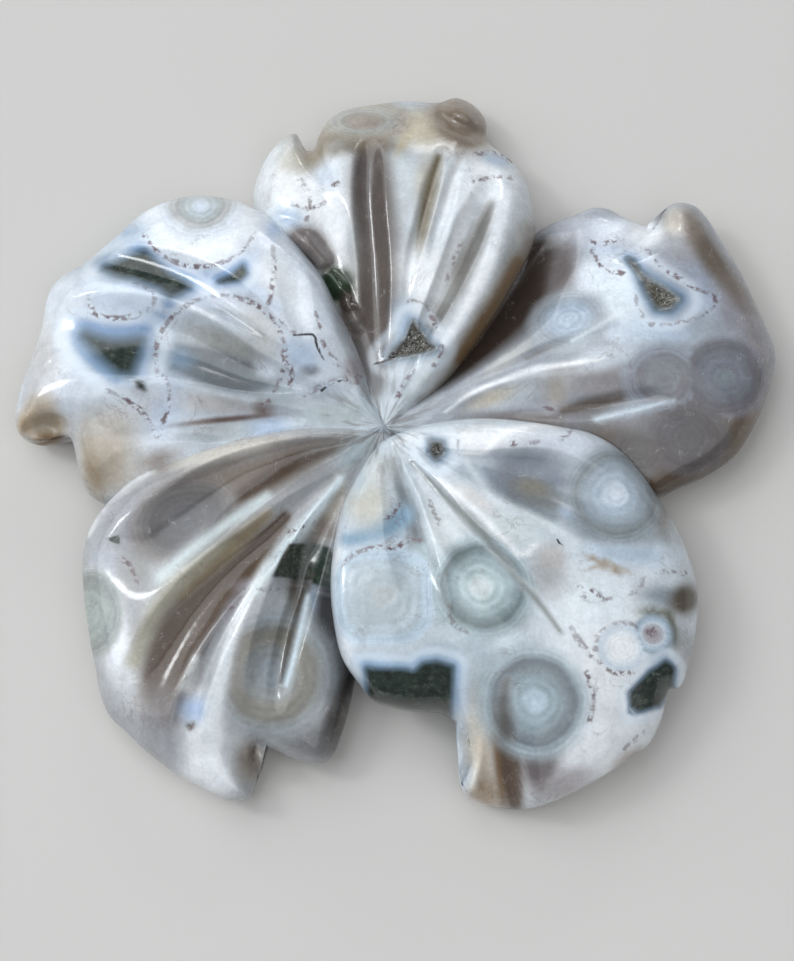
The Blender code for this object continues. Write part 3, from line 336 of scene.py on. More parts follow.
LOWER_LEFT = {
    "pole": (-5.0, -6.0),
    "rim": [
        (-0.8, -0.6, 6.4, 4.0, 1.4),
        (-3.0, -0.2, 7.0, 4.4, 1.5),
        (-6.0, 0.0, 7.6, 4.8, 1.6),
        (-10.0, -0.3, 8.1, 5.0, 1.6),
        (-14.0, -0.9, 8.4, 5.0, 1.6),
        (-18.0, -2.0, 8.5, 5.0, 1.6),
        (-21.0, -3.0, 8.4, 5.0, 1.6),
        (-23.5, -4.0, 8.2, 5.0, 1.8),
        (-26.0, -5.0, 8.0, 5.0, 1.8),
        (-28.5, -7.0, 7.6, 5.0, 2.0),
        (-30.2, -9.0, 7.3, 5.0, 2.2),
        (-31.4, -11.5, 7.0, 5.0, 2.2),
        (-31.8, -14.0, 6.7, 4.8, 2.2),
        (-31.6, -18.0, 6.3, 4.8, 2.2),
        (-31.0, -22.0, 5.9, 4.6, 2.2),
        (-30.3, -25.5, 5.6, 4.6, 2.2),
        (-29.8, -28.0, 5.4, 4.6, 2.0),
        (-29.0, -30.0, 5.2, 4.6, 2.0),
        (-27.0, -32.0, 5.1, 4.6, 2.2),
        (-25.0, -34.0, 5.0, 4.6, 2.2),
        (-22.0, -36.3, 4.9, 4.4, 2.2),
        (-19.0, -38.0, 4.9, 4.4, 2.0),
        (-16.5, -39.2, 4.9, 4.4, 1.6),
        (-14.9, -38.9, 4.9, 4.4, 1.3),
        (-14.0, -37.5, 4.9, 4.4, 1.2),
        (-13.8, -36.2, 4.9, 4.4, 1.2),
        (-14.3, -34.9, 4.9, 4.4, 1.2),
        (-14.0, -33.6, 5.1, 4.4, 1.4),
        (-12.5, -34.0, 5.2, 4.4, 1.8),
        (-10.0, -35.2, 5.2, 4.4, 2.2),
        (-8.0, -35.8, 5.1, 4.4, 2.2),
        (-6.5, -35.3, 5.0, 4.4, 2.2),
        (-5.3, -33.0, 4.8, 4.2, 2.2),
        (-4.4, -30.3, 4.7, 4.0, 2.0),
        (-3.4, -26.0, 4.7, 4.0, 1.8),
        (-2.0, -19.0, 4.9, 4.0, 1.6),
        (-0.8, -12.0, 5.1, 4.0, 1.6),
        (0.8, -6.0, 5.5, 4.0, 1.6),
        (1.6, -2.0, 5.7, 4.0, 1.4),
    ],
    "sheet": [
        (-3.0, -3.0, 7.2),
        (-5.0, -4.8, 7.9),
        (-9.0, -6.6, 9.2),
        (-16.0, -11.0, 10.2),
        (-23.0, -16.6, 9.6),
        (-26.3, -21.0, 8.6),
        (-28.2, -25.5, 7.0),
        (-10.0, -12.0, 9.2),
        (-13.0, -16.5, 9.8),
        (-15.5, -21.0, 9.6),
        (-17.5, -25.5, 8.9),
        (-18.5, -31.0, 7.6),
        (-18.5, -35.5, 6.1),
        (-21.5, -27.0, 8.6),
        (-24.5, -30.0, 7.2),
        (-13.0, -3.0, 9.3),
        (-20.0, -6.5, 9.6),
        (-26.0, -11.0, 9.2),
        (-6.0, -13.0, 7.8),
        (-7.3, -19.0, 7.9),
        (-6.5, -25.0, 7.2),
        (-7.0, -31.0, 6.3),
        (-12.0, -26.0, 8.2),
        (-12.0, -31.5, 6.6),
    ],
    "gouges": [
        [(-3.0, -1.9, 0.8, 0.8, 0.5), (-6.0, -2.5, 1.6, 1.6, 1.3), (-9.0, -3.2, 2.4, 2.2, 2.0),
         (-13.0, -4.8, 3.2, 3.2, 2.7), (-17.0, -7.0, 3.7, 4.0, 2.9), (-21.0, -10.0, 4.2, 4.6, 2.6),
         (-25.0, -13.2, 4.2, 4.6, 1.7), (-28.5, -16.5, 3.5, 4.0, 0.4)],
        [(-5.5, -6.0, 0.8, 0.8, 0.5), (-9.0, -8.6, 1.7, 1.5, 1.4), (-12.5, -12.0, 2.7, 2.3, 2.2),
         (-17.0, -16.0, 3.2, 3.2, 2.6), (-21.0, -21.0, 3.2, 4.0, 2.5), (-23.8, -26.0, 3.0, 4.2, 1.8),
         (-25.6, -31.0, 2.6, 3.6, 0.6)],
        [(-12.0, -14.0, 0.6, 0.8, 0.2), (-15.6, -19.0, 1.1, 1.5, 1.0), (-18.4, -24.0, 1.3, 1.8, 1.3),
         (-20.4, -29.0, 1.5, 2.0, 1.3), (-21.2, -34.0, 1.6, 2.0, 0.6), (-21.4, -37.0, 1.6, 1.8, 0.2)],
        [(-5.0, -8.0, 0.8, 0.8, 0.5), (-7.5, -12.0, 2.0, 1.8, 1.5), (-9.3, -16.0, 2.6, 2.3, 2.0),
         (-11.0, -21.0, 2.8, 2.6, 1.9), (-12.2, -26.0, 2.6, 2.8, 1.2), (-13.0, -31.0, 2.2, 2.6, 0.3)],
        [(-16.6, -33.0, 1.2, 1.2, 0.2), (-15.6, -35.0, 1.6, 1.6, 1.3), (-14.3, -37.0, 1.6, 1.8, 2.0)],
    ],
    "scores": [
        [(-8.6, -14.0, 0.8, 0.8, 0.1), (-9.3, -18.0, 1.1, 1.0, 0.7), (-10.6, -22.0, 1.1, 1.0, 0.9),
         (-11.5, -26.0, 1.0, 1.0, 0.7), (-12.0, -29.5, 0.8, 0.8, 0.1)],
    ],
    "beads": [],
}

LEFT = {
    "pole": (-7.0, 5.0),
    "rim": [
        (0.9, -0.9, 5.8, 4.0, 1.5),
        (0.2, 0.9, 6.1, 4.0, 1.4),
        (-1.0, 2.8, 6.9, 4.6, 1.4),
        (-1.8, 6.0, 8.0, 5.2, 1.4),
        (-3.0, 9.5, 8.8, 5.6, 1.4),
        (-4.5, 13.0, 9.3, 5.8, 1.4),
        (-6.0, 16.5, 9.4, 5.8, 1.5),
        (-8.0, 19.5, 9.1, 5.6, 1.6),
        (-10.0, 22.0, 8.6, 5.4, 1.8),
        (-12.0, 24.0, 8.0, 5.2, 2.0),
        (-14.5, 25.5, 7.4, 5.0, 2.2),
        (-17.0, 26.3, 6.9, 4.8, 2.2),
        (-20.0, 26.6, 6.4, 4.6, 2.2),
        (-23.0, 26.0, 6.0, 4.4, 2.2),
        (-25.5, 24.8, 5.8, 4.4, 2.2),
        (-28.0, 22.5, 5.6, 4.2, 2.0),
        (-30.3, 20.5, 5.4, 4.2, 1.8),
        (-32.0, 19.0, 5.3, 4.2, 1.8),
        (-33.7, 18.1, 5.4, 4.2, 1.8),
        (-35.2, 16.8, 5.5, 4.2, 1.8),
        (-35.9, 15.0, 5.5, 4.2, 2.0),
        (-36.4, 12.0, 5.6, 4.2, 2.2),
        (-37.3, 9.0, 5.8, 4.2, 2.2),
        (-38.3, 6.0, 6.0, 4.4, 2.2),
        (-38.9, 3.5, 6.1, 4.4, 2.0),
        (-39.1, 1.5, 6.0, 4.4, 1.6),
        (-38.4, -0.2, 5.5, 4.4, 1.4),
        (-36.6, -0.9, 5.0, 4.2, 1.3),
        (-34.6, -0.5, 5.1, 4.2, 1.3),
        (-33.3, -0.4, 5.8, 4.4, 1.3),
        (-32.7, -2.0, 6.0, 4.4, 1.6),
        (-32.2, -4.5, 5.7, 4.4, 1.8),
        (-31.4, -6.4, 5.3, 4.2, 2.0),
        (-29.8, -7.7, 5.0, 4.0, 2.0),
        (-26.0, -8.0, 4.8, 4.0, 2.0),
        (-20.0, -7.0, 4.8, 4.0, 1.8),
        (-12.0, -5.5, 5.0, 4.0, 1.8),
        (-5.0, -3.6, 5.4, 4.0, 1.6),
        (-2.0, -2.4, 5.8, 4.0, 1.5),
    ],
    "sheet": [
        (-4.5, 3.0, 7.6),
        (-8.0, 5.0, 8.6),
        (-13.0, 8.5, 9.8),
        (-17.0, 11.5, 10.0),
        (-20.3, 13.5, 9.8),
        (-24.0, 14.9, 9.3),
        (-27.5, 16.0, 8.6),
        (-31.0, 16.8, 7.6),
        (-34.0, 15.8, 6.6),
        (-13.0, 2.8, 8.6),
        (-18.0, 4.3, 9.2),
        (-22.0, 5.4, 9.3),
        (-26.0, 5.9, 9.1),
        (-30.0, 6.0, 8.7),
        (-34.0, 5.2, 7.9),
        (-37.0, 3.8, 7.0),
        (-24.0, 10.5, 9.2),
        (-32.5, 11.0, 8.0),
        (-6.0, 11.0, 10.0),
        (-9.0, 17.0, 10.4),
        (-12.5, 20.5, 9.8),
        (-18.0, 22.0, 8.8),
        (-24.0, 21.0, 7.8),
        (-28.5, 19.5, 6.8),
        (-29.0, -1.5, 7.2),
        (-24.0, -2.0, 7.0),
        (-18.0, -0.5, 7.4),
        (-10.0, 0.0, 7.2),
    ],
    "gouges": [
        [(-9.0, 8.6, 0.8, 1.2, 0.3), (-13.0, 11.4, 1.5, 2.6, 1.1), (-17.0, 14.2, 1.9, 3.4, 1.8),
         (-21.0, 16.6, 2.2, 3.4, 2.2), (-25.0, 18.0, 2.2, 3.2, 2.1), (-29.0, 18.8, 1.9, 2.6, 1.6),
         (-33.0, 19.2, 1.5, 2.0, 0.8)],
        [(-7.0, 3.8, 0.7, 0.9, 0.4), (-11.0, 5.0, 1.7, 2.0, 1.3), (-15.0, 6.4, 2.6, 3.0, 2.0),
         (-19.5, 8.6, 3.6, 4.0, 2.5), (-24.0, 10.4, 4.6, 4.6, 2.7), (-29.0, 11.0, 5.0, 5.2, 2.4),
         (-33.5, 11.0, 5.0, 4.8, 1.4), (-37.5, 10.5, 4.5, 4.0, 0.4)],
        [(-9.0, 0.8, 1.0, 1.0, 0.5), (-13.0, 1.0, 1.8, 1.6, 1.1), (-17.5, 0.8, 2.6, 2.8, 1.6),
         (-22.0, 1.4, 3.0, 3.6, 1.6), (-27.0, 1.0, 3.2, 4.2, 1.0), (-31.0, 0.0, 3.0, 4.2, 0.3)],
        [(-7.8, 9.0, 1.0, 1.2, 0.1), (-8.8, 13.0, 1.6, 1.8, 0.6), (-9.5, 17.0, 1.8, 2.0, 0.7),
         (-10.8, 20.5, 1.8, 2.0, 0.2)],
        [(-33.2, 0.2, 1.2, 1.2, 1.0), (-35.3, 1.0, 1.6, 1.5, 2.2), (-37.2, 0.6, 1.4, 1.4, 1.4)],
    ],
    "scores": [],
    "beads": [
        [(-37.5, 7.6, 0.7, 0.7, 0.1), (-35.6, 8.5, 0.8, 0.8, 0.4), (-33.6, 9.2, 0.8, 0.8, 0.1)],
    ],
}

# Colours of the stone, linear.
WHITE = (0.90, 0.93, 0.96)
PALE_BLUE = (0.38, 0.50, 0.66)
GREY = (0.32, 0.34, 0.36)
TAN = (0.30, 0.23, 0.15)
TAUPE = (0.20, 0.17, 0.145)
SEA_GREEN = (0.40, 0.48, 0.47)


def arc(x, y, radius, first, last, width=0.5):
    """Rows of x, y, width along part of a circle, angles in degrees."""
    rows = []
    for step in range(9):
        angle = math.radians(first + (last - first) * step / 8)
        rows.append((x + radius * math.cos(angle), y + radius * math.sin(angle), width))
    return rows


# Stain rows are x, y, half length, half width, turn in degrees, amount, colour. Besides the stone's
# own colours, some rows are painted shade in creases and under overhanging petals, and some are
# painted highlights along rims and ridges.
# Streak rows are an amount, a colour and rows of x, y, half width; dark ones in grooves and valleys
# are partly painted shade, and white ones on ridges partly painted highlight. Crest rows are like them
# but drawn over the orbs: mostly painted highlights along ridges and rims, and dark painted shade in
# grooves.
# Pockets are a lining (0 moss green, 1 quartz), the reach of the glow, its strength and the corners.
# Orb rows are x, y, half length, half width, turn, squareness, halo reach, strength and the colours
# of the heart, inner band, dark ring, rim and halo.
LOWER_RIGHT["ground"] = (0.64, 0.71, 0.77)
LOWER_RIGHT["stains"] = [
    # Painted highlight along the top rim.
    (12.0, -2.2, 9.0, 1.5, -2, 1.0, (0.88, 0.90, 0.92)),
    (19.0, -3.2, 4.0, 1.4, -6, 0.8, (0.72, 0.77, 0.85)),
    (22.4, -26.0, 6.0, 9.0, -8, 1.0, WHITE),
    (19.5, -36.0, 7.0, 4.0, 25, 1.1, WHITE),
    (20.6, -20.0, 4.4, 3.0, 0, 1.0, (0.86, 0.92, 0.96)),
    (-2.0, -8.4, 2.0, 2.8, 10, 0.9, (0.58, 0.57, 0.51)),
    (-0.4, -5.0, 1.6, 1.6, 0, 0.7, (0.62, 0.64, 0.62)),
    (-3.0, -6.2, 1.2, 1.6, 0, 0.8, (0.62, 0.70, 0.76)),
    (-5.0, -18.0, 0.8, 9.0, 4, 0.8, WHITE),
    (6.2, -12.4, 1.4, 3.4, 22, 1.0, (0.86, 0.92, 0.95)),
    (9.0, -11.2, 2.6, 1.2, -40, 0.8, (0.66, 0.70, 0.72)),
    (12.8, -11.6, 3.2, 1.6, -38, 1.0, (0.72, 0.79, 0.81)),
    (9.2, -8.6, 2.6, 1.0, -38, 1.0, (0.76, 0.76, 0.76)),
    (9.2, -6.0, 1.8, 1.0, -20, 0.8, (0.56, 0.64, 0.70)),
    (9.0, -24.4, 4.6, 1.4, 0, 0.7, (0.50, 0.59, 0.65)),
    (12.2, -21.4, 2.2, 1.2, 10, 0.8, (0.36, 0.40, 0.40)),
    (12.2, -23.9, 1.6, 0.9, 10, 0.9, (0.78, 0.87, 0.92)),
    (9.4, -27.4, 1.4, 2.0, 0, 0.7, (0.45, 0.54, 0.59)),
    (15.4, -6.4, 4.2, 2.6, -16, 1.2, (0.31, 0.36, 0.43)),
    (15.8, -8.6, 3.4, 1.5, -25, 1.0, (0.27, 0.30, 0.32)),
    (15.5, -7.6, 1.6, 0.9, -16, 0.7, (0.33, 0.32, 0.28)),
    (21.4, -11.8, 2.4, 1.6, -30, 0.9, (0.31, 0.37, 0.43)),
    (19.4, -10.6, 1.1, 0.6, -20, 0.8, (0.50, 0.62, 0.76)),
    (25.2, -13.0, 4.0, 1.1, -8, 0.8, (0.33, 0.38, 0.42)),
    (25.0, -15.2, 4.0, 1.1, -6, 0.9, (0.56, 0.66, 0.76)),
    (28.0, -9.4, 1.2, 3.4, 18, 1.0, (0.22, 0.19, 0.165)),
    (16.2, -17.0, 2.2, 2.4, 10, 0.8, (0.48, 0.50, 0.52)),
    (17.2, -15.2, 1.4, 1.4, 0, 0.5, (0.55, 0.51, 0.49)),
    (22.4, -15.9, 1.8, 0.28, -22, 0.9, (0.42, 0.33, 0.24)),
    (23.8, -16.9, 1.3, 0.25, -12, 0.8, (0.40, 0.32, 0.24)),
    (21.6, -16.5, 1.0, 0.22, 10, 0.6, (0.44, 0.36, 0.28)),
    (28.6, -19.8, 2.6, 1.1, -8, 0.9, (0.30, 0.36, 0.42)),
    (30.6, -20.2, 1.3, 1.6, -40, 1.2, (0.15, 0.14, 0.12)),
    (27.4, -21.4, 1.7, 0.5, -8, 1.0, (0.22, 0.25, 0.23)),
    (29.0, -23.2, 0.6, 1.8, 8, 1.2, (0.16, 0.18, 0.16)),
    (27.6, -25.6, 1.4, 0.8, 35, 0.8, (0.42, 0.52, 0.62)),
    (30.4, -25.4, 0.8, 2.6, 6, 0.8, (0.42, 0.44, 0.46)),
    (8.9, -35.4, 1.2, 4.6, 6, 0.95, (0.74, 0.68, 0.60)),
    (9.0, -39.6, 1.6, 1.6, 0, 0.8, (0.52, 0.41, 0.30)),
    (9.6, -31.5, 1.4, 2.0, 0, 0.7, (0.50, 0.55, 0.56)),
    # Darker in the fold: the stone's brown with painted shade on the fold's walls.
    (10.7, -36.5, 0.6, 4.6, 3, 1.0, (0.29, 0.21, 0.135)),
    (11.8, -36.2, 0.9, 5.0, 3, 1.8, (0.15, 0.12, 0.10)),
    (14.8, -35.4, 1.9, 3.8, -6, 1.3, (0.22, 0.21, 0.23)),
    (17.4, -38.6, 2.4, 1.4, 20, 0.9, (0.52, 0.50, 0.53)),
    (24.0, -36.6, 2.0, 1.0, 30, 0.7, (0.35, 0.28, 0.26)),
]
LOWER_RIGHT["streaks"] = [
    # Painted shade in the first groove.
    (1.0, (0.13, 0.165, 0.20), [(1.0, -4.2, 0.35), (1.6, -7.0, 0.6), (2.6, -10.0, 0.8),
     (3.2, -13.0, 0.7)]),
    (0.9, (0.36, 0.45, 0.49), [(3.2, -13.6, 0.8), (4.4, -17.4, 1.0), (5.8, -20.8, 1.0)]),
    (1.1, (0.28, 0.43, 0.56), [(-5.4, -12.7, 0.6), (-3.4, -12.5, 0.7), (-1.4, -12.0, 0.9),
     (0.4, -11.2, 1.1), (1.8, -10.2, 1.0)]),
    # Painted highlight on the ridge beside the groove.
    (0.7, WHITE, [(3.6, -6.0, 0.5), (5.2, -9.6, 0.9), (6.4, -12.4, 0.9)]),
    (0.8, (0.26, 0.35, 0.43), [(10.6, -5.6, 0.35), (12.4, -7.6, 0.6), (14.4, -9.4, 0.6),
     (17.4, -11.0, 0.5)]),
    (0.7, (0.62, 0.70, 0.75), arc(15.0, -30.2, 5.2, -60, 110, 0.5)),
    (0.6, (0.72, 0.78, 0.83), arc(15.0, -30.2, 7.2, -50, 100, 0.35)),
    (0.9, (0.44, 0.58, 0.74), [(-3.4, -25.5, 0.5), (-1.0, -25.7, 0.6), (2.0, -25.8, 0.6),
     (3.4, -25.0, 0.5),
                               (6.8, -25.5, 0.6), (7.1, -28.0, 0.6), (6.9, -30.6, 0.6)]),
]
LOWER_RIGHT["orbs"] = [
    (9.7, -18.1, 4.0, 4.0, 0, 2.0, 1.5, 1.0,
     [(0.86, 0.93, 0.94), (0.57, 0.68, 0.70), (0.33, 0.41, 0.43), (0.20, 0.25, 0.26),
      (0.43, 0.52, 0.55)]),
    (24.2, -8.8, 4.0, 4.0, 0, 2.0, 1.5, 0.9,
     [(0.62, 0.68, 0.75), (0.40, 0.47, 0.54), (0.30, 0.35, 0.39), (0.22, 0.25, 0.26),
      (0.30, 0.34, 0.37)]),
    (14.5, -30.3, 4.0, 4.0, 0, 2.0, 1.6, 1.0,
     [(0.60, 0.72, 0.81), (0.37, 0.46, 0.51), (0.27, 0.32, 0.35), (0.20, 0.23, 0.26),
      (0.46, 0.55, 0.60)]),
    (-0.5, -18.7, 4.5, 4.4, 0, 3.2, 1.25, 0.85,
     [(0.36, 0.39, 0.39), (0.38, 0.44, 0.47), (0.43, 0.51, 0.56), (0.46, 0.57, 0.66),
      (0.55, 0.67, 0.78)]),
    (23.8, -25.0, 2.0, 2.0, 0, 2.0, 1.4, 0.95,
     [(0.96, 0.97, 0.98), (0.93, 0.96, 0.98), (0.84, 0.90, 0.95), (0.70, 0.78, 0.86),
      (0.68, 0.77, 0.86)]),
    (27.1, -23.7, 1.5, 1.5, 0, 2.0, 1.6, 0.95,
     [(0.36, 0.32, 0.34), (0.44, 0.42, 0.45), (0.62, 0.70, 0.78), (0.46, 0.57, 0.68),
      (0.32, 0.40, 0.46)]),
]
LOWER_RIGHT["pockets"] = [
    (0, 1.0, 1.0, [(-2.4, -26.3), (1.2, -26.6), (2.4, -26.9), (3.4, -26.0), (4.6, -25.9),
     (6.2, -26.4),
                   (6.0, -28.4), (5.7, -31.2), (0.2, -31.2), (-2.4, -29.6)]),
    (0, 0.8, 1.0, [(24.4, -29.7), (26.5, -27.6), (28.2, -26.6), (28.9, -27.3), (28.6, -29.2),
     (27.2, -30.9),
                   (24.4, -31.6)]),
    (0.6, 1.2, 1.0, [(5.2, -2.4), (6.1, -2.6), (6.2, -3.6), (5.5, -4.1), (5.0, -3.4)]),
]
LOWER_RIGHT["seams"] = [
    [(-4.8, -15.4), (-3.8, -14.3), (-3.0, -13.9), (-1.0, -13.5), (1.0, -13.8), (1.8, -13.0),
     (3.7, -13.0)],
    [(4.6, -8.5), (5.0, -10.0), (5.6, -11.3)],
    [(-0.2, -10.4), (0.8, -10.0), (1.5, -9.0)],
    [(8.0, -1.6), (7.8, -2.8), (8.1, -4.0)],
    [(13.6, -2.9), (14.0, -2.8)],
    [(15.6, -2.8), (16.4, -2.7)],
    [(18.8, -2.5), (20.0, -1.5)],
    [(19.9, -18.5), (20.3, -19.8), (21.2, -20.1), (23.6, -19.7), (25.8, -19.1)],
    [(20.6, -18.8), (21.6, -19.2), (22.4, -20.0)],
    [(26.2, -18.6), (26.6, -17.4), (27.8, -17.1), (29.4, -17.3), (30.8, -17.4)],
    arc(23.8, -25.0, 2.7, 50, 290),
    arc(27.1, -23.7, 0.6, 0, 360),
    [(6.3, -20.0), (6.6, -21.8), (8.0, -22.8)],
    [(18.6, -22.4), (19.4, -24.0), (20.8, -25.8)],
    [(20.0, -27.4), (20.6, -30.0), (20.0, -32.4)],
    [(23.0, -35.6), (24.3, -34.6), (25.4, -33.6)],
]
LOWER_RIGHT["cracks"] = [
    [(17.8, -13.4), (18.8, -15.0)],
]

RIGHT["ground"] = (0.42, 0.46, 0.52)
RIGHT["stains"] = [
    (23.5, 20.6, 3.6, 1.8, -8, 0.9, (0.60, 0.64, 0.71)),
    (26.5, 20.6, 3.0, 1.6, -5, 1.0, (0.84, 0.89, 0.95)),
    (29.4, 20.4, 2.0, 1.4, 10, 1.1, WHITE),
    (26.3, 17.9, 2.6, 0.8, -16, 0.9, (0.62, 0.72, 0.88)),
    (24.4, 15.6, 3.4, 2.4, 10, 1.2, (0.80, 0.86, 0.92)),
    (26.2, 12.2, 2.4, 2.4, 0, 1.1, (0.80, 0.87, 0.92)),
    (21.5, 9.0, 2.2, 0.9, 30, 1.0, (0.84, 0.92, 0.96)),
    (27.6, 9.2, 3.4, 1.4, 10, 1.1, (0.72, 0.80, 0.88)),
    (31.4, 8.8, 3.0, 1.2, -5, 0.9, (0.56, 0.65, 0.76)),
    (24.6, 6.2, 4.0, 1.2, 6, 1.1, (0.66, 0.72, 0.79)),
    (35.0, 12.2, 1.6, 2.2, 10, 0.9, (0.52, 0.60, 0.71)),
    (34.8, 15.4, 2.4, 1.4, -40, 0.9, (0.40, 0.45, 0.54)),
    (35.6, 9.0, 3.0, 1.4, -10, 0.8, (0.44, 0.50, 0.57)),
    (38.4, 11.0, 1.6, 3.4, 15, 0.8, (0.36, 0.36, 0.41)),
    (33.4, 18.6, 2.4, 1.6, -30, 0.8, (0.42, 0.43, 0.46)),
    (32.7, 21.6, 1.4, 1.4, 0, 1.1, (0.66, 0.63, 0.58)),
    (34.6, 20.6, 1.2, 2.4, 20, 1.0, (0.36, 0.33, 0.31)),
    (36.2, 17.2, 1.2, 3.4, 25, 1.1, (0.20, 0.18, 0.16)),
    (38.6, 13.6, 1.0, 3.4, 25, 0.8, (0.25, 0.22, 0.20)),
    (15.0, 3.4, 4.4, 1.5, 22, 1.0, (0.66, 0.71, 0.76)),
    (11.6, 2.3, 2.6, 0.8, 20, 0.9, (0.68, 0.64, 0.56)),
    (19.0, 4.2, 2.8, 1.4, 10, 1.0, (0.55, 0.57, 0.60)),
    (18.6, 2.6, 1.0, 1.4, 0, 0.5, (0.52, 0.46, 0.38)),
    (22.8, 3.4, 3.0, 1.2, 6, 0.9, (0.42, 0.42, 0.45)),
    (26.4, 4.0, 3.0, 1.4, 4, 0.9, (0.32, 0.32, 0.35)),
    # Painted shade along the edge under the lower right petal.
    (15.4, -0.3, 6.4, 0.9, -3, 1.0, (0.26, 0.25, 0.26)),
    (21.0, -0.9, 2.0, 0.7, -10, 0.8, (0.32, 0.36, 0.42)),
    # From here the lower part of this petal is painted darker: its stone colours with painted shade.
    (24.6, -3.4, 5.0, 2.4, -12, 1.0, (0.20, 0.185, 0.175)),
    (32.0, 0.2, 4.6, 3.4, 0, 1.0, (0.21, 0.21, 0.23)),
    (33.0, -4.5, 6.0, 3.6, 15, 1.2, (0.19, 0.17, 0.165)),
    (38.0, -3.0, 2.4, 3.6, -30, 1.1, (0.20, 0.17, 0.145)),
    (31.0, -7.2, 5.0, 1.3, 18, 1.2, (0.15, 0.12, 0.10)),
    (40.4, 4.0, 1.4, 6.0, 0, 0.7, (0.33, 0.31, 0.31)),
    (17.0, 8.8, 2.4, 0.9, 30, 0.8, (0.38, 0.43, 0.49)),
    (13.6, 6.6, 3.4, 0.7, 36, 0.9, (0.58, 0.60, 0.60)),
    # Painted shade under the top petal's edge.
    (20.0, 16.6, 1.5, 3.2, -15, 1.0, (0.23, 0.22, 0.235)),
]
RIGHT["streaks"] = [
    # Painted shade in the crevice beside the top petal.
    (1.3, (0.085, 0.073, 0.070), [(3.6, 2.6, 0.5), (8.0, 5.6, 0.9), (11.0, 8.0, 1.2),
     (14.0, 11.2, 1.9),
                                  (16.4, 14.4, 2.1), (18.0, 18.6, 1.7)]),
    (0.7, (0.27, 0.28, 0.29), [(15.6, 6.4, 0.3), (17.6, 7.5, 0.35), (19.4, 8.1, 0.4),
     (22.0, 8.8, 0.3)]),
    (1.2, (0.16, 0.145, 0.145), [(19.2, 0.6, 0.4), (22.4, 1.3, 0.7), (25.4, 2.1, 0.7),
     (28.6, 2.7, 0.4)]),
]
RIGHT["orbs"] = [
    # The orbs on the lower part of this petal, this one and the last two, are darkened by painted
    # shade.
    (36.5, 3.7, 3.8, 3.8, 0, 2.0, 1.35, 0.85,
     [(0.25, 0.29, 0.32), (0.20, 0.22, 0.26), (0.155, 0.155, 0.18), (0.155, 0.15, 0.165),
      (0.24, 0.24, 0.27)]),
    (20.3, 10.7, 3.0, 2.3, 15, 2.0, 1.7, 0.8,
     [(0.50, 0.60, 0.72), (0.42, 0.51, 0.62), (0.38, 0.45, 0.53), (0.34, 0.39, 0.44),
      (0.38, 0.42, 0.46)]),
    (30.0, 3.9, 3.4, 3.2, 0, 2.0, 1.5, 0.8,
     [(0.19, 0.19, 0.21), (0.21, 0.22, 0.24), (0.18, 0.18, 0.20), (0.25, 0.27, 0.31),
      (0.32, 0.36, 0.41)]),
    (32.2, -2.8, 3.6, 3.4, 0, 2.0, 1.4, 0.6,
     [(0.145, 0.15, 0.17), (0.13, 0.13, 0.15), (0.11, 0.105, 0.115), (0.15, 0.145, 0.16),
      (0.16, 0.155, 0.16)]),
    (26.8, -4.2, 2.4, 2.0, -10, 2.0, 1.5, 0.5,
     [(0.17, 0.17, 0.18), (0.16, 0.16, 0.17), (0.13, 0.125, 0.13), (0.16, 0.155, 0.16),
      (0.17, 0.165, 0.165)]),
]
RIGHT["pockets"] = [
    (1, 1.5, 1.0, [(28.5, 15.5), (30.4, 14.1), (32.3, 12.7), (31.3, 11.7), (30.0, 11.8),
     (29.2, 13.5)]),
    (1, 1.0, 1.0, [(27.2, 17.4), (27.6, 17.2), (28.5, 15.7), (28.2, 15.7)]),
]
RIGHT["seams"] = [
    [(29.3, 18.4), (30.7, 16.5), (32.4, 15.2), (34.5, 13.6), (36.1, 12.9), (36.2, 11.9),
     (35.6, 11.3),
     (33.4, 10.3), (31.1, 9.8), (28.2, 9.9)],
    [(28.3, 10.9), (27.7, 12.2), (27.9, 13.4)],
    [(23.4, 18.6), (23.7, 17.6), (24.3, 16.6), (25.2, 16.2), (26.6, 15.8)],
    [(22.9, 19.8), (24.4, 19.3), (26.0, 19.7)],
    [(17.2, 1.2), (18.0, 0.8)],
]
RIGHT["cracks"] = []

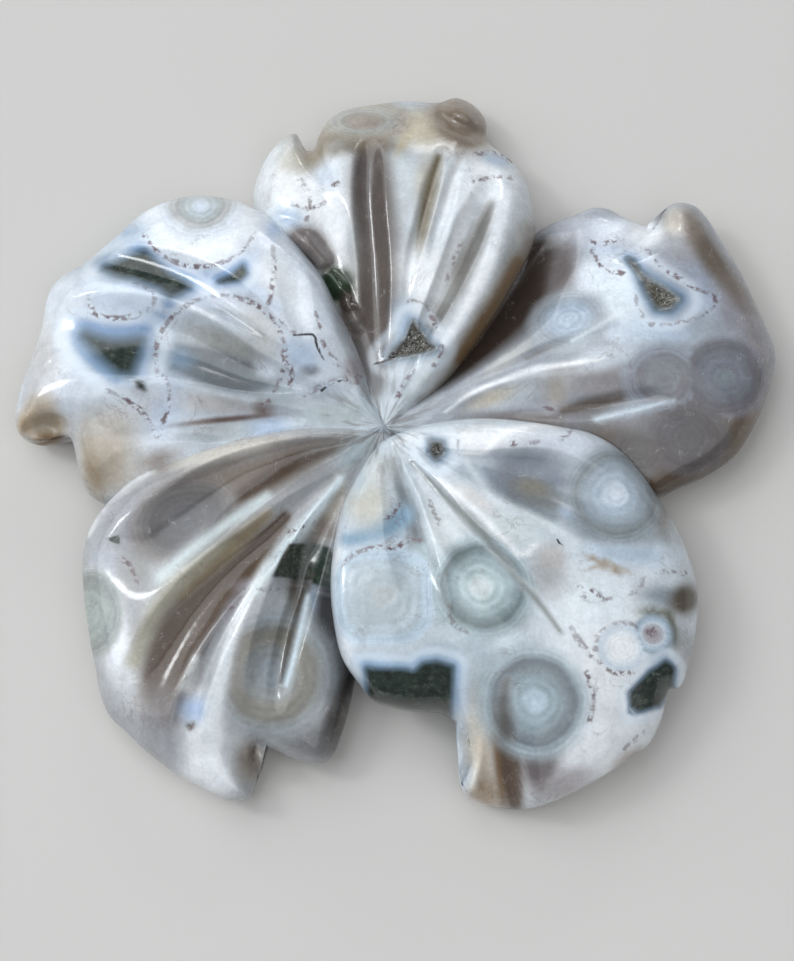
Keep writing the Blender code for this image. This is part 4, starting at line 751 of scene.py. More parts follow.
TOP["ground"] = (0.64, 0.69, 0.73)
TOP["stains"] = [
    (-8.0, 27.0, 4.0, 5.0, 0, 0.8, WHITE),
    (-4.4, 22.5, 1.9, 6.0, 10, 0.8, WHITE),
    (-2.8, 20.0, 0.7, 3.0, 0, 0.5, (0.42, 0.48, 0.50)),
    (-9.4, 23.6, 1.6, 1.2, -30, 0.8, (0.40, 0.53, 0.68)),
    (-5.4, 28.4, 1.2, 2.0, 20, 0.3, PALE_BLUE),
    (11.8, 27.6, 2.8, 2.6, 0, 0.9, WHITE),
    (9.2, 32.0, 3.0, 1.4, -15, 1.2, (0.82, 0.83, 0.83)),
    (5.0, 16.4, 2.2, 3.0, 20, 0.9, WHITE),
    (3.2, 26.0, 1.0, 6.0, 4, 0.6, (0.60, 0.66, 0.69)),
    (5.4, 28.0, 0.9, 2.6, -15, 0.5, (0.46, 0.42, 0.33)),
    (8.6, 24.6, 1.6, 5.0, -18, 0.9, (0.80, 0.84, 0.88)),
    (-1.2, 34.6, 8.2, 2.6, 4, 0.95, (0.30, 0.27, 0.22)),
    (-6.6, 31.2, 1.3, 2.4, -30, 0.85, (0.33, 0.29, 0.22)),
    (-9.2, 30.4, 1.2, 1.6, -30, 0.5, (0.50, 0.47, 0.38)),
    (4.8, 36.6, 2.4, 0.9, 0, 0.85, (0.52, 0.60, 0.68)),
    (5.6, 33.6, 2.4, 2.2, -20, 1.0, (0.66, 0.62, 0.53)),
    (3.3, 32.0, 0.5, 1.8, -30, 0.5, (0.62, 0.55, 0.40)),
    (10.6, 35.0, 3.2, 3.2, 0, 2.6, (0.31, 0.275, 0.24)),
    # Painted shade in the crease on the ball's left side.
    (9.0, 34.6, 0.9, 1.6, 0, 0.8, (0.22, 0.175, 0.14)),
    (12.2, 36.4, 1.2, 1.2, 0, 0.6, (0.36, 0.33, 0.28)),
    (13.4, 29.6, 1.6, 0.7, -25, 0.7, PALE_BLUE),
    (2.6, 11.4, 1.2, 2.4, 0, 0.6, PALE_BLUE),
    (1.6, 4.0, 1.2, 3.0, -30, 0.5, (0.62, 0.69, 0.78)),
    # Under the left petal's rim: the rolled edge's grey, green and brown with painted shade, and
    # painted shade in the crease towards the centre.
    (-7.6, 20.2, 2.0, 1.7, -45, 2.2, (0.24, 0.225, 0.235)),
    (-5.9, 18.6, 1.2, 1.2, 0, 1.6, (0.28, 0.27, 0.28)),
    (-4.5, 15.7, 1.5, 1.6, 0, 2.4, (0.022, 0.060, 0.026)),
    (-3.4, 11.4, 1.0, 1.2, 0, 1.8, (0.24, 0.23, 0.23)),
    (-3.2, 13.6, 1.0, 1.2, 0, 1.6, (0.075, 0.065, 0.06)),
    (-2.0, 9.4, 1.2, 1.8, 15, 1.4, (0.17, 0.16, 0.165)),
    (-1.6, 5.4, 1.4, 2.4, 10, 1.3, (0.19, 0.185, 0.20)),
]
TOP["streaks"] = [
    (0.6, (0.34, 0.38, 0.43), [(1.6, 12.0, 0.6), (1.8, 16.0, 0.8), (1.8, 20.0, 0.9),
     (1.6, 26.0, 0.9), (1.4, 30.0, 0.8)]),
    (1.6, (0.17, 0.158, 0.16), [(-0.9, 4.4, 1.1), (-1.0, 8.0, 1.6), (-0.8, 12.0, 2.0),
     (-0.5, 17.0, 2.2),
                                (-0.4, 24.0, 2.2), (-0.4, 28.0, 2.0), (-0.4, 31.0, 1.4)]),
    (1.0, (0.34, 0.32, 0.27), [(4.4, 18.3, 0.3), (5.3, 22.4, 0.7), (6.2, 26.4, 0.8),
     (7.1, 30.0, 0.5)]),
    (0.8, (0.17, 0.145, 0.10), [(4.2, 19.3, 0.15), (5.0, 23.0, 0.25), (6.1, 27.3, 0.3),
     (7.1, 30.2, 0.25)]),
    (0.6, (0.30, 0.28, 0.24), [(7.2, 23.0, 0.25), (8.3, 26.6, 0.35), (9.6, 30.4, 0.3)]),
    (1.2, (0.20, 0.205, 0.21), [(4.9, 9.6, 0.4), (7.2, 13.0, 0.8), (9.3, 17.2, 1.0),
     (11.4, 21.2, 1.0), (12.7, 24.3, 0.6)]),
    # The right side wall and the band inside it: the stone's tan with painted shade.
    (0.9, (0.34, 0.32, 0.29), [(4.0, 1.4, 0.6), (8.0, 5.4, 1.2), (12.6, 10.8, 1.6),
     (15.6, 16.5, 1.8),
                               (17.0, 21.0, 1.4)]),
    (1.1, (0.27, 0.20, 0.13), [(8.4, 6.8, 0.7), (11.0, 10.6, 1.0), (13.2, 14.0, 0.9),
     (15.2, 17.4, 0.8)]),
    (0.7, (0.22, 0.19, 0.16), [(-4.4, 31.2, 0.6), (-1.0, 32.0, 0.8), (3.0, 31.6, 0.6)]),
    # Painted highlight along the ridge next to the right side wall.
    (1.2, WHITE, [(7.0, 8.8, 0.5), (9.0, 11.6, 0.7), (11.6, 16.6, 0.8), (13.1, 21.6, 0.6),
     (14.3, 25.4, 0.8)]),
    (0.9, WHITE, [(6.0, 14.4, 0.5), (8.0, 19.0, 0.5), (9.6, 23.4, 0.6), (11.2, 28.4, 0.6)]),
]
TOP["orbs"] = [
    (-1.1, 34.8, 3.6, 1.5, 0, 2.0, 1.8, 0.85,
     [(0.36, 0.31, 0.27), (0.37, 0.33, 0.29), (0.44, 0.45, 0.43), (0.43, 0.42, 0.38),
      (0.42, 0.38, 0.32)]),
]
TOP["pockets"] = [
    (1, 1.3, 0.8, [(3.6, 11.1), (2.8, 9.2), (0.9, 7.2), (3.4, 7.4), (5.9, 8.0), (4.9, 9.0)]),
]
TOP["seams"] = [
    [(11.0, 30.3), (13.5, 30.4), (15.0, 29.3)],
    [(10.8, 27.2), (13.0, 27.5), (15.1, 27.4)],
    [(3.0, 13.4), (4.3, 13.5), (5.4, 12.4), (6.1, 10.4)],
    [(-4.6, 27.3), (-4.1, 27.5)],
    [(5.6, 6.0), (6.3, 7.0), (6.6, 8.2)],
    [(7.4, 15.6), (8.2, 17.6), (9.2, 20.2)],
    [(1.6, 2.6), (2.6, 4.6), (3.6, 5.6)],
    [(-9.0, 25.2), (-7.0, 24.6), (-5.4, 25.4)],
    [(-8.3, 28.2), (-7.2, 26.0), (-7.6, 23.2)],
]
TOP["cracks"] = [
    [(-1.0, 6.5), (0.4, 6.8), (1.4, 7.2)],
]

LOWER_LEFT["ground"] = (0.46, 0.48, 0.51)
LOWER_LEFT["stains"] = [
    (-18.0, -35.6, 3.8, 3.0, 20, 0.9, WHITE),
    (-19.6, -31.4, 2.0, 3.4, 0, 0.7, WHITE),
    (-25.0, -32.0, 4.0, 2.2, -40, 0.7, (0.44, 0.47, 0.52)),
    (-28.2, -23.0, 1.6, 6.0, 14, 0.95, WHITE),
    (-7.6, -33.4, 4.0, 1.8, -10, 0.9, (0.22, 0.23, 0.25)),
    (-26.0, -15.2, 2.6, 1.8, 40, 0.9, (0.40, 0.41, 0.42)),
    # Painted highlight along the ridge under the top edge.
    (-17.0, -2.6, 7.0, 0.8, 12, 1.0, (0.72, 0.70, 0.66)),
    (-24.0, -3.6, 2.0, 1.0, 20, 0.9, (0.38, 0.35, 0.34)),
    (-27.6, -9.6, 2.4, 2.6, -40, 0.8, (0.44, 0.45, 0.50)),
    (-29.5, -14.0, 1.6, 2.0, 0, 0.5, (0.60, 0.65, 0.72)),
    (-14.3, -17.2, 1.6, 0.8, 0, 0.8, (0.36, 0.36, 0.43)),
    (-16.2, -19.4, 0.8, 1.6, -30, 0.8, (0.28, 0.29, 0.34)),
    (-12.2, -19.2, 1.9, 1.6, 0, 0.7, (0.60, 0.63, 0.66)),
    (-20.2, -29.8, 1.4, 1.3, 0, 0.9, (0.40, 0.52, 0.70)),
    (-7.6, -18.8, 0.6, 1.6, 0, 0.8, (0.38, 0.50, 0.64)),
    (-9.8, -25.0, 0.5, 4.0, -18, 0.8, (0.44, 0.58, 0.66)),
    (-3.0, -3.2, 2.4, 1.2, 40, 0.6, (0.42, 0.52, 0.58)),
    (-5.4, -8.4, 1.0, 2.6, -20, 0.6, (0.33, 0.29, 0.22)),
    (-6.4, -11.6, 1.2, 1.2, 0, 0.6, TAUPE),
    # Painted shadow under the lower right petal's edge.
    (-5.4, -23.5, 1.8, 7.0, 5, 1.6, (0.052, 0.05, 0.055)),
    (-5.4, -31.5, 1.6, 2.8, 10, 1.0, (0.10, 0.10, 0.105)),
    # Painted shade on the notch's wall.
    (-14.6, -35.2, 1.5, 2.0, 0, 0.8, (0.22, 0.19, 0.16)),
    (-20.6, -31.4, 0.4, 0.3, 0, 1.2, (0.10, 0.12, 0.09)),
]
LOWER_LEFT["streaks"] = [
    # The dark valley rows here are the stone's brown with painted shade.
    (1.0, (0.26, 0.23, 0.205), [(-5.0, -2.4, 0.8), (-9.0, -3.4, 1.4), (-14.0, -5.2, 2.0),
     (-19.0, -7.0, 2.6),
                                (-24.0, -10.6, 2.4)]),
    (1.2, (0.105, 0.08, 0.065), [(-3.2, -1.6, 0.5), (-6.0, -2.7, 0.8), (-9.0, -3.8, 1.0),
     (-12.3, -5.7, 1.0),
                                 (-15.4, -7.6, 0.7)]),
    (1.1, (0.44, 0.39, 0.30), [(-12.4, -9.6, 0.5), (-15.4, -12.4, 1.0), (-18.4, -15.2, 1.1),
     (-21.2, -17.8, 0.9)]),
    (1.7, (0.135, 0.105, 0.085), [(-10.6, -10.0, 0.5), (-13.0, -12.8, 0.9), (-16.0, -16.2, 1.4),
     (-19.0, -19.2, 1.9),
                                  (-21.8, -22.2, 2.2), (-23.2, -25.6, 2.0), (-24.6, -29.0, 1.5)]),
    (0.9, (0.20, 0.19, 0.20), [(-23.6, -28.4, 1.6), (-24.4, -31.4, 1.4)]),
    (0.7, (0.22, 0.22, 0.25), [(-14.4, -17.4, 0.6), (-17.4, -21.4, 0.8), (-20.2, -26.4, 0.9),
     (-21.8, -31.0, 0.6)]),
    (1.1, (0.14, 0.13, 0.12), [(-6.6, -10.4, 0.6), (-8.6, -13.8, 1.0), (-9.9, -19.0, 0.8),
     (-11.2, -24.5, 0.5), (-12.2, -29.4, 0.35)]),
    (0.7, (0.17, 0.18, 0.20), [(-7.2, -18.4, 0.8), (-7.2, -21.4, 1.0), (-6.8, -25.4, 0.8)]),
]
LOWER_LEFT["orbs"] = [
    (-21.0, -9.8, 4.2, 3.2, 20, 2.0, 1.6, 0.85,
     [(0.13, 0.135, 0.15), (0.13, 0.13, 0.14), (0.11, 0.105, 0.11), (0.15, 0.145, 0.145),
      (0.22, 0.20, 0.19)]),
    (-31.2, -19.5, 3.2, 4.2, 0, 2.0, 1.3, 0.9,
     [(0.40, 0.46, 0.43), (0.36, 0.41, 0.38), (0.26, 0.29, 0.27), (0.34, 0.37, 0.35),
      (0.48, 0.51, 0.50)]),
    (-12.4, -26.4, 4.2, 4.2, 0, 2.0, 1.9, 0.95,
     [(0.31, 0.35, 0.38), (0.29, 0.31, 0.31), (0.25, 0.235, 0.20), (0.23, 0.22, 0.19),
      (0.37, 0.41, 0.43)]),
]
LOWER_LEFT["pockets"] = [
    (0.25, 0.5, 0.1, [(-10.2, -12.8), (-7.6, -13.0), (-7.6, -16.8), (-9.5, -16.6), (-12.0, -16.2)]),
    (0, 0.6, 0.1, [(-7.9, -12.8), (-6.0, -13.4), (-5.0, -16.0), (-5.6, -17.6), (-7.9, -17.1)]),
    (0.2, 0.3, 0.0, [(-29.4, -11.6), (-28.0, -11.3), (-27.9, -12.3)]),
]
LOWER_LEFT["seams"] = [
    [(-13.6, -17.4), (-12.0, -17.7), (-10.5, -17.8)],
    [(-16.8, -19.6), (-15.6, -19.0), (-15.0, -17.6)],
    [(-28.0, -13.6), (-26.8, -14.6), (-26.0, -16.4)],
    [(-10.2, -11.6), (-8.6, -11.0)],
    [(-20.3, -31.3), (-20.7, -31.7)],
]
LOWER_LEFT["cracks"] = []

LEFT["ground"] = (0.64, 0.70, 0.77)
LEFT["stains"] = [
    (-34.5, 15.0, 2.6, 3.0, 0, 0.6, (0.70, 0.75, 0.81)),
    (-12.0, 19.0, 1.8, 5.0, 20, 0.8, WHITE),
    (-9.0, 14.0, 1.6, 5.0, 20, 0.6, WHITE),
    (-26.8, 22.2, 2.4, 1.4, 40, 0.6, (0.48, 0.58, 0.68)),
    (-30.4, 19.8, 2.6, 0.8, 25, 0.8, (0.26, 0.34, 0.42)),
    (-35.0, 9.0, 2.0, 3.0, 0, 0.6, WHITE),
    (-36.4, 8.0, 1.8, 4.0, 0, 0.9, (0.60, 0.60, 0.61)),
    (-36.4, 3.2, 1.6, 1.4, 0, 0.9, (0.52, 0.46, 0.39)),
    (-27.8, 14.7, 3.6, 2.2, 0, 1.2, (0.72, 0.80, 0.90)),
    (-23.0, 10.0, 1.2, 4.0, -35, 0.6, (0.62, 0.69, 0.78)),
    (-17.6, 7.4, 6.6, 3.6, -22, 0.75, (0.44, 0.51, 0.56)),
    (-16.6, 9.3, 4.6, 1.4, -26, 0.85, (0.40, 0.41, 0.40)),
    (-12.6, 10.6, 1.5, 3.0, 30, 0.5, (0.52, 0.52, 0.49)),
    (-17.6, 6.6, 5.4, 1.6, -20, 2.2, (0.19, 0.225, 0.26)),
    (-15.0, 6.0, 3.4, 0.5, -24, 0.5, (0.22, 0.27, 0.30)),
    (-21.6, 8.0, 1.5, 1.1, -20, 1.0, (0.24, 0.34, 0.44)),
    (-29.5, 0.0, 3.2, 2.6, 0, 0.65, (0.50, 0.45, 0.38)),
    (-29.2, -4.0, 3.4, 3.0, 0, 0.8, (0.42, 0.36, 0.28)),
    (-30.8, -4.0, 0.9, 4.4, 10, 0.5, TAN),
    (-24.0, -2.6, 3.4, 1.6, 20, 0.4, WHITE),
    (-21.4, 3.6, 3.6, 1.1, -8, 0.8, WHITE),
    (-25.6, 3.6, 1.1, 2.6, 30, 0.4, (0.60, 0.62, 0.66)),
    (-17.5, 2.6, 4.2, 0.9, -8, 0.6, (0.56, 0.53, 0.52)),
    (-16.4, -0.4, 4.6, 1.1, 4, 0.9, (0.42, 0.47, 0.50)),
    (-12.2, -0.2, 2.0, 1.2, 0, 0.8, (0.47, 0.60, 0.76)),
    (-24.0, -3.4, 2.0, 1.0, 20, 0.9, (0.38, 0.35, 0.34)),
    (-17.0, 0.9, 4.6, 0.32, 4, 0.9, (0.15, 0.10, 0.09)),
    (-12.6, 2.0, 1.1, 0.9, 0, 0.8, (0.20, 0.13, 0.115)),
    (-7.6, 6.1, 0.9, 0.6, 0, 0.9, (0.10, 0.10, 0.11)),
    (-3.6, 9.5, 1.0, 4.2, 14, 0.5, GREY),
    (-2.8, 6.0, 1.2, 1.4, 0, 0.7, (0.28, 0.23, 0.25)),
    # The curl's hollow: painted shade and a warm painted reflection.
    (-36.0, 0.9, 2.0, 1.6, 0, 1.6, (0.50, 0.45, 0.38)),
    (-35.6, -0.8, 1.6, 0.9, 10, 1.0, (0.26, 0.19, 0.13)),
    (-38.0, 1.4, 0.9, 1.6, -20, 1.0, (0.52, 0.44, 0.35)),
    (-23.0, 2.6, 1.6, 3.4, -20, 0.4, (0.66, 0.78, 0.95)),
    (-8.4, 7.8, 2.0, 1.6, -40, 0.6, (0.40, 0.53, 0.70)),
    (-5.0, 1.2, 3.6, 1.4, 0, 0.55, SEA_GREEN),
    (-11.0, 3.2, 2.0, 1.2, 0, 0.8, (0.44, 0.51, 0.56)),
    (-12.0, 6.4, 1.2, 1.0, 0, 0.9, (0.72, 0.78, 0.85)),
    (-6.0, 3.8, 1.6, 1.0, 0, 0.5, (0.26, 0.33, 0.42)),
]
LEFT["streaks"] = [
    (0.9, WHITE, arc(-19.2, 25.0, 5.0, 185, 355, 1.5)),
    (1.1, (0.31, 0.45, 0.66), arc(-19.2, 25.0, 8.2, 200, 340, 0.75)),
    (0.7, (0.60, 0.70, 0.84), arc(-17.2, 7.9, 8.4, 40, 190, 0.7)),
    (0.5, (0.66, 0.70, 0.78), arc(-17.2, 7.9, 6.2, 10, 200, 0.4)),
    (0.45, (0.34, 0.38, 0.40), arc(-17.2, 7.9, 5.2, 20, 200, 0.35)),
    (1.2, (0.20, 0.34, 0.56), [(-32.6, 12.6, 0.7), (-30.8, 11.8, 0.8), (-28.6, 11.3, 1.0),
     (-26.2, 11.4, 1.0),
                               (-24.0, 12.6, 0.8), (-22.6, 14.0, 0.5)]),
    (0.9, (0.26, 0.38, 0.54), [(-32.9, 11.4, 0.6), (-32.4, 9.6, 0.7), (-30.6, 7.8, 0.7),
     (-28.4, 5.9, 0.6)]),
]
LEFT["orbs"] = [
    (-19.2, 25.4, 3.0, 2.4, 0, 2.0, 1.9, 0.9,
     [(0.66, 0.74, 0.82), (0.52, 0.58, 0.60), (0.40, 0.42, 0.41), (0.50, 0.51, 0.50),
      (0.72, 0.78, 0.85)]),
]

LEFT["pockets"] = [
    (0, 1.4, 0.9, [(-29.6, 18.5), (-28.4, 18.9), (-26.8, 19.6), (-25.4, 20.1), (-24.2, 18.8),
     (-22.7, 17.4),
                   (-21.2, 16.6), (-20.6, 16.0), (-21.6, 15.4), (-22.5, 15.2), (-23.6, 16.2),
                   (-24.6, 16.6), (-26.4, 17.4), (-28.4, 17.9)]),
    (0.1, 0.9, 0.8, [(-17.2, 16.5), (-15.8, 17.1), (-14.6, 18.2), (-14.4, 17.4), (-15.0, 16.7)]),
    (0, 2.0, 1.0, [(-31.6, 10.8), (-30.6, 10.4), (-29.1, 9.9), (-27.4, 9.8), (-25.8, 10.0),
     (-26.2, 8.6),
                   (-26.6, 7.6), (-26.9, 6.6), (-27.9, 6.8), (-29.2, 8.0), (-30.4, 9.4)]),
    (0.1, 0.8, 0.2, [(-26.3, 5.6), (-25.5, 5.4), (-25.2, 4.4), (-26.0, 4.8)]),
]
LEFT["seams"] = [
    arc(-19.2, 25.0, 6.7, 205, 335),
    arc(-17.2, 7.9, 7.0, -35, 195),
    [(-31.2, 13.6), (-29.8, 12.9), (-27.4, 12.7), (-25.0, 13.4), (-24.2, 14.6), (-24.8, 15.8),
     (-26.4, 16.6)],
    [(-31.4, 15.4), (-31.0, 13.9)],
    [(-11.4, 20.4), (-11.2, 17.6), (-11.5, 15.8), (-11.9, 13.8)],
    [(-29.2, 4.6), (-27.8, 3.9), (-26.4, 2.8), (-25.0, 1.4), (-24.0, -0.8), (-23.2, 1.0)],
    [(-23.2, 6.0), (-22.6, 4.2), (-22.8, 2.2), (-23.4, 1.0)],
    [(-12.6, 1.4), (-12.8, 2.6), (-11.8, 2.8)],
    [(-10.9, 12.2), (-10.2, 11.2), (-9.2, 10.4)],
    [(-6.2, 9.4), (-5.4, 7.8), (-4.6, 6.6), (-3.4, 5.6), (-2.2, 5.2)],
    [(-9.0, 2.8), (-7.2, 3.8), (-5.8, 4.8), (-4.0, 5.0), (-2.6, 4.6)],
    [(-10.4, 8.0), (-9.6, 6.2), (-9.8, 4.2)],
    [(-6.8, 12.6), (-6.4, 10.8)],
]
LEFT["cracks"] = [
    [(-9.3, 10.1), (-7.0, 10.0), (-6.9, 9.2), (-6.1, 7.2)],
    [(-6.4, 3.8), (-5.2, 4.6), (-3.6, 4.8)],
]

# Painted highlight along the ridge.
LEFT["crests"] = [
    (0.5, WHITE, [(-31.0, 18.0, 0.3), (-27.0, 17.2, 0.4), (-22.6, 14.8, 0.45), (-18.0, 12.6, 0.4)]),
]

# Painted highlights along the rim and ridges, and painted shade in the narrow groove.
LOWER_LEFT["crests"] = [
    (0.8, WHITE, [(-31.2, -11.0, 0.3), (-30.0, -8.4, 0.5), (-27.2, -5.8, 0.5), (-24.4, -4.4, 0.3)]),
    (0.8, (0.84, 0.86, 0.86), [(-21.0, -27.4, 0.6), (-20.0, -24.6, 0.4)]),
    (1.0, (0.66, 0.73, 0.75), [(-12.4, -7.6, 0.45), (-16.8, -10.5, 0.65), (-20.0, -12.9, 0.8),
     (-23.6, -15.8, 0.8)]),
    (0.9, (0.58, 0.57, 0.49), [(-16.8, -12.4, 0.4), (-19.8, -14.8, 0.7), (-22.4, -17.2, 0.9),
     (-24.6, -20.4, 0.8),
                               (-26.4, -24.6, 0.8)]),
    (1.2, (0.80, 0.84, 0.87), [(-12.6, -15.0, 0.3), (-14.8, -19.0, 0.45), (-16.5, -23.0, 0.7),
     (-17.7, -28.0, 0.8),
                               (-18.6, -33.0, 0.8)]),
    (1.1, (0.72, 0.80, 0.84), [(-4.6, -6.0, 0.35), (-6.8, -8.8, 0.5), (-9.0, -11.4, 0.7),
     (-11.6, -14.4, 0.7),
                               (-13.6, -17.6, 0.6)]),
    (0.8, (0.10, 0.10, 0.10), [(-8.6, -17.2, 0.6), (-9.2, -19.4, 0.5), (-10.4, -23.4, 0.35),
     (-11.4, -27.4, 0.3)]),
    (0.9, (0.72, 0.82, 0.88), [(-8.4, -18.4, 0.25), (-9.4, -22.6, 0.35), (-10.8, -27.6, 0.25)]),
]

# Painted highlights along the ridges and the top rim, and painted shade in the groove and the fold.
LOWER_RIGHT["crests"] = [
    (0.8, (0.25, 0.28, 0.28), [(3.2, -4.5, 0.3), (5.8, -7.8, 0.4), (9.3, -11.6, 0.55),
     (11.7, -14.8, 0.6),
                               (13.4, -17.3, 0.5), (15.7, -20.2, 0.3), (17.6, -23.1, 0.2)]),
    (0.9, (0.95, 0.97, 0.98), [(5.8, -6.4, 0.25), (9.7, -10.2, 0.3), (13.1, -14.1, 0.3),
     (13.8, -14.9, 0.35),
                               (15.4, -13.8, 0.25)]),
    (0.6, (0.82, 0.87, 0.90), [(8.6, -4.6, 0.3), (11.2, -8.4, 0.4), (15.6, -10.9, 0.4),
     (20.0, -13.8, 0.3)]),
    (0.9, (0.97, 0.98, 0.99), [(8.0, -3.6, 0.15), (10.7, -3.6, 0.25), (11.6, -2.6, 0.3),
     (13.0, -1.6, 0.3),
                               (16.0, -0.9, 0.3), (20.0, -1.1, 0.15)]),
    (0.8, (0.97, 0.98, 0.99), [(0.9, -2.4, 0.15), (3.4, -1.6, 0.25), (4.4, -2.2, 0.15)]),
    (0.8, (0.17, 0.17, 0.165), [(11.8, -28.0, 0.5), (11.3, -30.4, 0.9), (11.5, -33.4, 0.9)]),
]

# Painted highlights along the ridges.
RIGHT["crests"] = [
    (0.9, (0.93, 0.95, 0.97), [(6.6, 0.9, 0.15), (9.8, 3.0, 0.25), (13.4, 4.4, 0.25),
     (16.6, 5.4, 0.3),
                               (20.2, 5.8, 0.25), (23.7, 6.2, 0.15)]),
    (0.9, (0.60, 0.68, 0.75), [(22.6, -0.5, 0.3), (26.4, 0.4, 0.5), (31.0, 1.3, 0.3)]),
    (0.7, (0.82, 0.88, 0.92), [(20.6, 8.4, 0.2), (24.0, 10.2, 0.3), (27.0, 12.0, 0.25)]),
]

# Painted highlights along the ridges.
TOP["crests"] = [
    (0.8, WHITE, [(8.6, 20.8, 0.15), (9.4, 23.6, 0.3), (10.6, 27.0, 0.25)]),
    (0.8, WHITE, [(12.0, 18.0, 0.2), (13.8, 22.6, 0.35), (14.2, 26.0, 0.25)]),
]

# Hollows lined with crystals: corners, depth.
LOWER_RIGHT["hollows"] = [
    ([(5.2, -2.4), (6.1, -2.6), (6.2, -3.6), (5.5, -4.1), (5.0, -3.4)], 0.5),
]
RIGHT["hollows"] = [
    ([(28.7, 15.1), (30.3, 14.0), (32.1, 12.6), (31.2, 11.8), (30.1, 11.9), (29.4, 13.4)], 0.9),
]
TOP["hollows"] = [
    ([(3.6, 11.1), (2.8, 9.2), (0.9, 7.2), (3.4, 7.4), (5.9, 8.0), (4.9, 9.0)], 0.7),
]
LOWER_LEFT["hollows"] = []
LEFT["hollows"] = []

PETALS = (LOWER_RIGHT, RIGHT, TOP, LOWER_LEFT, LEFT)

def spline(rows, closed, step):
    """A smooth curve through the rows, cut evenly along x and y."""
    rows = np.asarray(rows, float)
    if closed:
        rows = np.vstack([rows[-1:], rows, rows[:2]])
    else:
        rows = np.vstack([2 * rows[:1] - rows[1:2], rows, 2 * rows[-1:] - rows[-2:-1]])
    spans = np.maximum(np.linalg.norm(np.diff(rows[:, :2], axis=0), axis=1), 0.01) ** 0.5
    knots = np.concatenate([[0], np.cumsum(spans)])[:, None]
    slopes = np.diff(rows, axis=0) / np.diff(knots, axis=0)
    gaps = np.diff(knots, axis=0)
    inner = (slopes[:-1] * gaps[1:] + slopes[1:] * gaps[:-1]) / (gaps[:-1] + gaps[1:])
    pieces = []
    for i in range(1, len(rows) - 2):
        t = np.linspace(0, 1, 24, endpoint=False)[:, None]
        gap = gaps[i]
        start = (2 * t**3 - 3 * t**2 + 1) * rows[i] + (t**3 - 2 * t**2 + t) * gap * inner[i - 1]
        end = (3 * t**2 - 2 * t**3) * rows[i + 1] + (t**3 - t**2) * gap * inner[i]
        pieces.append(start + end)
    fine = np.vstack(pieces + [rows[-2:-1]])
    run = np.concatenate([[0], np.cumsum(np.linalg.norm(np.diff(fine[:, :2], axis=0), axis=1))])
    count = step if closed else max(2, int(run[-1] / step) + 1)
    at = np.linspace(0, run[-1], count, endpoint=not closed)
    return np.stack([np.interp(at, run, column) for column in fine.T], axis=1)


def closest(points, path, closed):
    """Distance from each point to a path, the path's row there, and the side it lies on."""
    ends = np.roll(path, -1, axis=0) if closed else path[1:]
    starts = path if closed else path[:-1]
    best = np.full(len(points), 1e9)
    row = np.zeros((len(points), path.shape[1]))
    side = np.zeros(len(points))
    for a, b in zip(starts, ends):
        along = b[:2] - a[:2]
        share = np.clip((points - a[:2]) @ along / max(along @ along, 1e-9), 0, 1)
        away = points - a[:2] - share[:, None] * along
        gap = np.hypot(away[:, 0], away[:, 1])
        near = gap < best
        best[near] = gap[near]
        row[near] = a + share[near, None] * (b - a)
        side[near] = (along[0] * away[:, 1] - along[1] * away[:, 0])[near]
    return best, row, side


def polygon_gap(points, corners):
    """Signed distance to a polygon, negative inside."""
    corners = np.asarray(corners, float)
    gap, _, _ = closest(points, corners, True)
    inside = np.zeros(len(points), bool)
    for a, b in zip(corners, np.roll(corners, -1, axis=0)):
        crosses = (a[1] > points[:, 1]) != (b[1] > points[:, 1])
        slope = (b[0] - a[0]) / (b[1] - a[1] + 1e-12)
        inside ^= crosses & (points[:, 0] < slope * (points[:, 1] - a[1]) + a[0])
    return np.where(inside, -gap, gap)


def sheet_height(rows):
    """A thin plate bent through rows of x, y, z, as a function of x and y."""
    rows = np.asarray(rows, float)
    places = rows[:, :2]

    def kernel(a, b):
        square = ((a[:, None] - b[None]) ** 2).sum(axis=2)
        return square * np.log(square + 1e-9)

    count = len(rows)
    system = np.zeros((count + 3, count + 3))
    system[:count, :count] = kernel(places, places) + 2.0 * np.eye(count)
    system[:count, count:] = np.column_stack([np.ones(count), places])
    system[count:, :count] = system[:count, count:].T
    weights = np.linalg.solve(system, np.concatenate([rows[:, 2], np.zeros(3)]))

    def height(points):
        flat = np.column_stack([np.ones(len(points)), points]) @ weights[count:]
        return kernel(points, places) @ weights[:count] + flat

    return height


def stroke_depth(points, stroke):
    path = spline(stroke, False, 0.7)
    gap, row, side = closest(points, path, False)
    width = np.where(side > 0, row[:, 2], row[:, 3])
    share = gap / np.maximum(width, 0.1)
    depth = row[:, 4] * np.maximum(1 - share**2, -2)
    return 0.5 * (depth + np.sqrt(depth**2 + ARRIS**2))


def bead_height(points, stroke):
    path = spline(stroke, False, 0.7)
    gap, row, _ = closest(points, path, False)
    share = np.clip(gap / np.maximum(row[:, 2], 0.1), 0, 1)
    return row[:, 4] * (1 - share**2) ** 2


def top_height(petal, points, sheet):
    cut = np.zeros(len(points))
    for stroke in petal["gouges"]:
        other = stroke_depth(points, stroke)
        cut = 0.5 * (cut + other + np.sqrt((cut - other) ** 2 + ARRIS**2) - ARRIS)
    for stroke in petal["scores"]:
        cut += stroke_depth(points, stroke)
    for corners, depth in petal["hollows"]:
        inside = step_up(-polygon_gap(points, corners), -0.15, 0.35)
        cut += depth * inside
    height = sheet(points) - cut
    for stroke in petal["beads"]:
        height += bead_height(points, stroke)
    return height


def placed(points, heights):
    """Slides plan points along their lines of sight to their heights."""
    eye = np.array(EYE)
    share = (eye[2] - heights) / (eye[2] - PLAN_Z)
    return eye[:2] + (points - eye[:2]) * share[:, None]


def step_up(value, low, high):
    share = np.clip((value - low) / (high - low), 0, 1)
    return share * share * (3 - 2 * share)


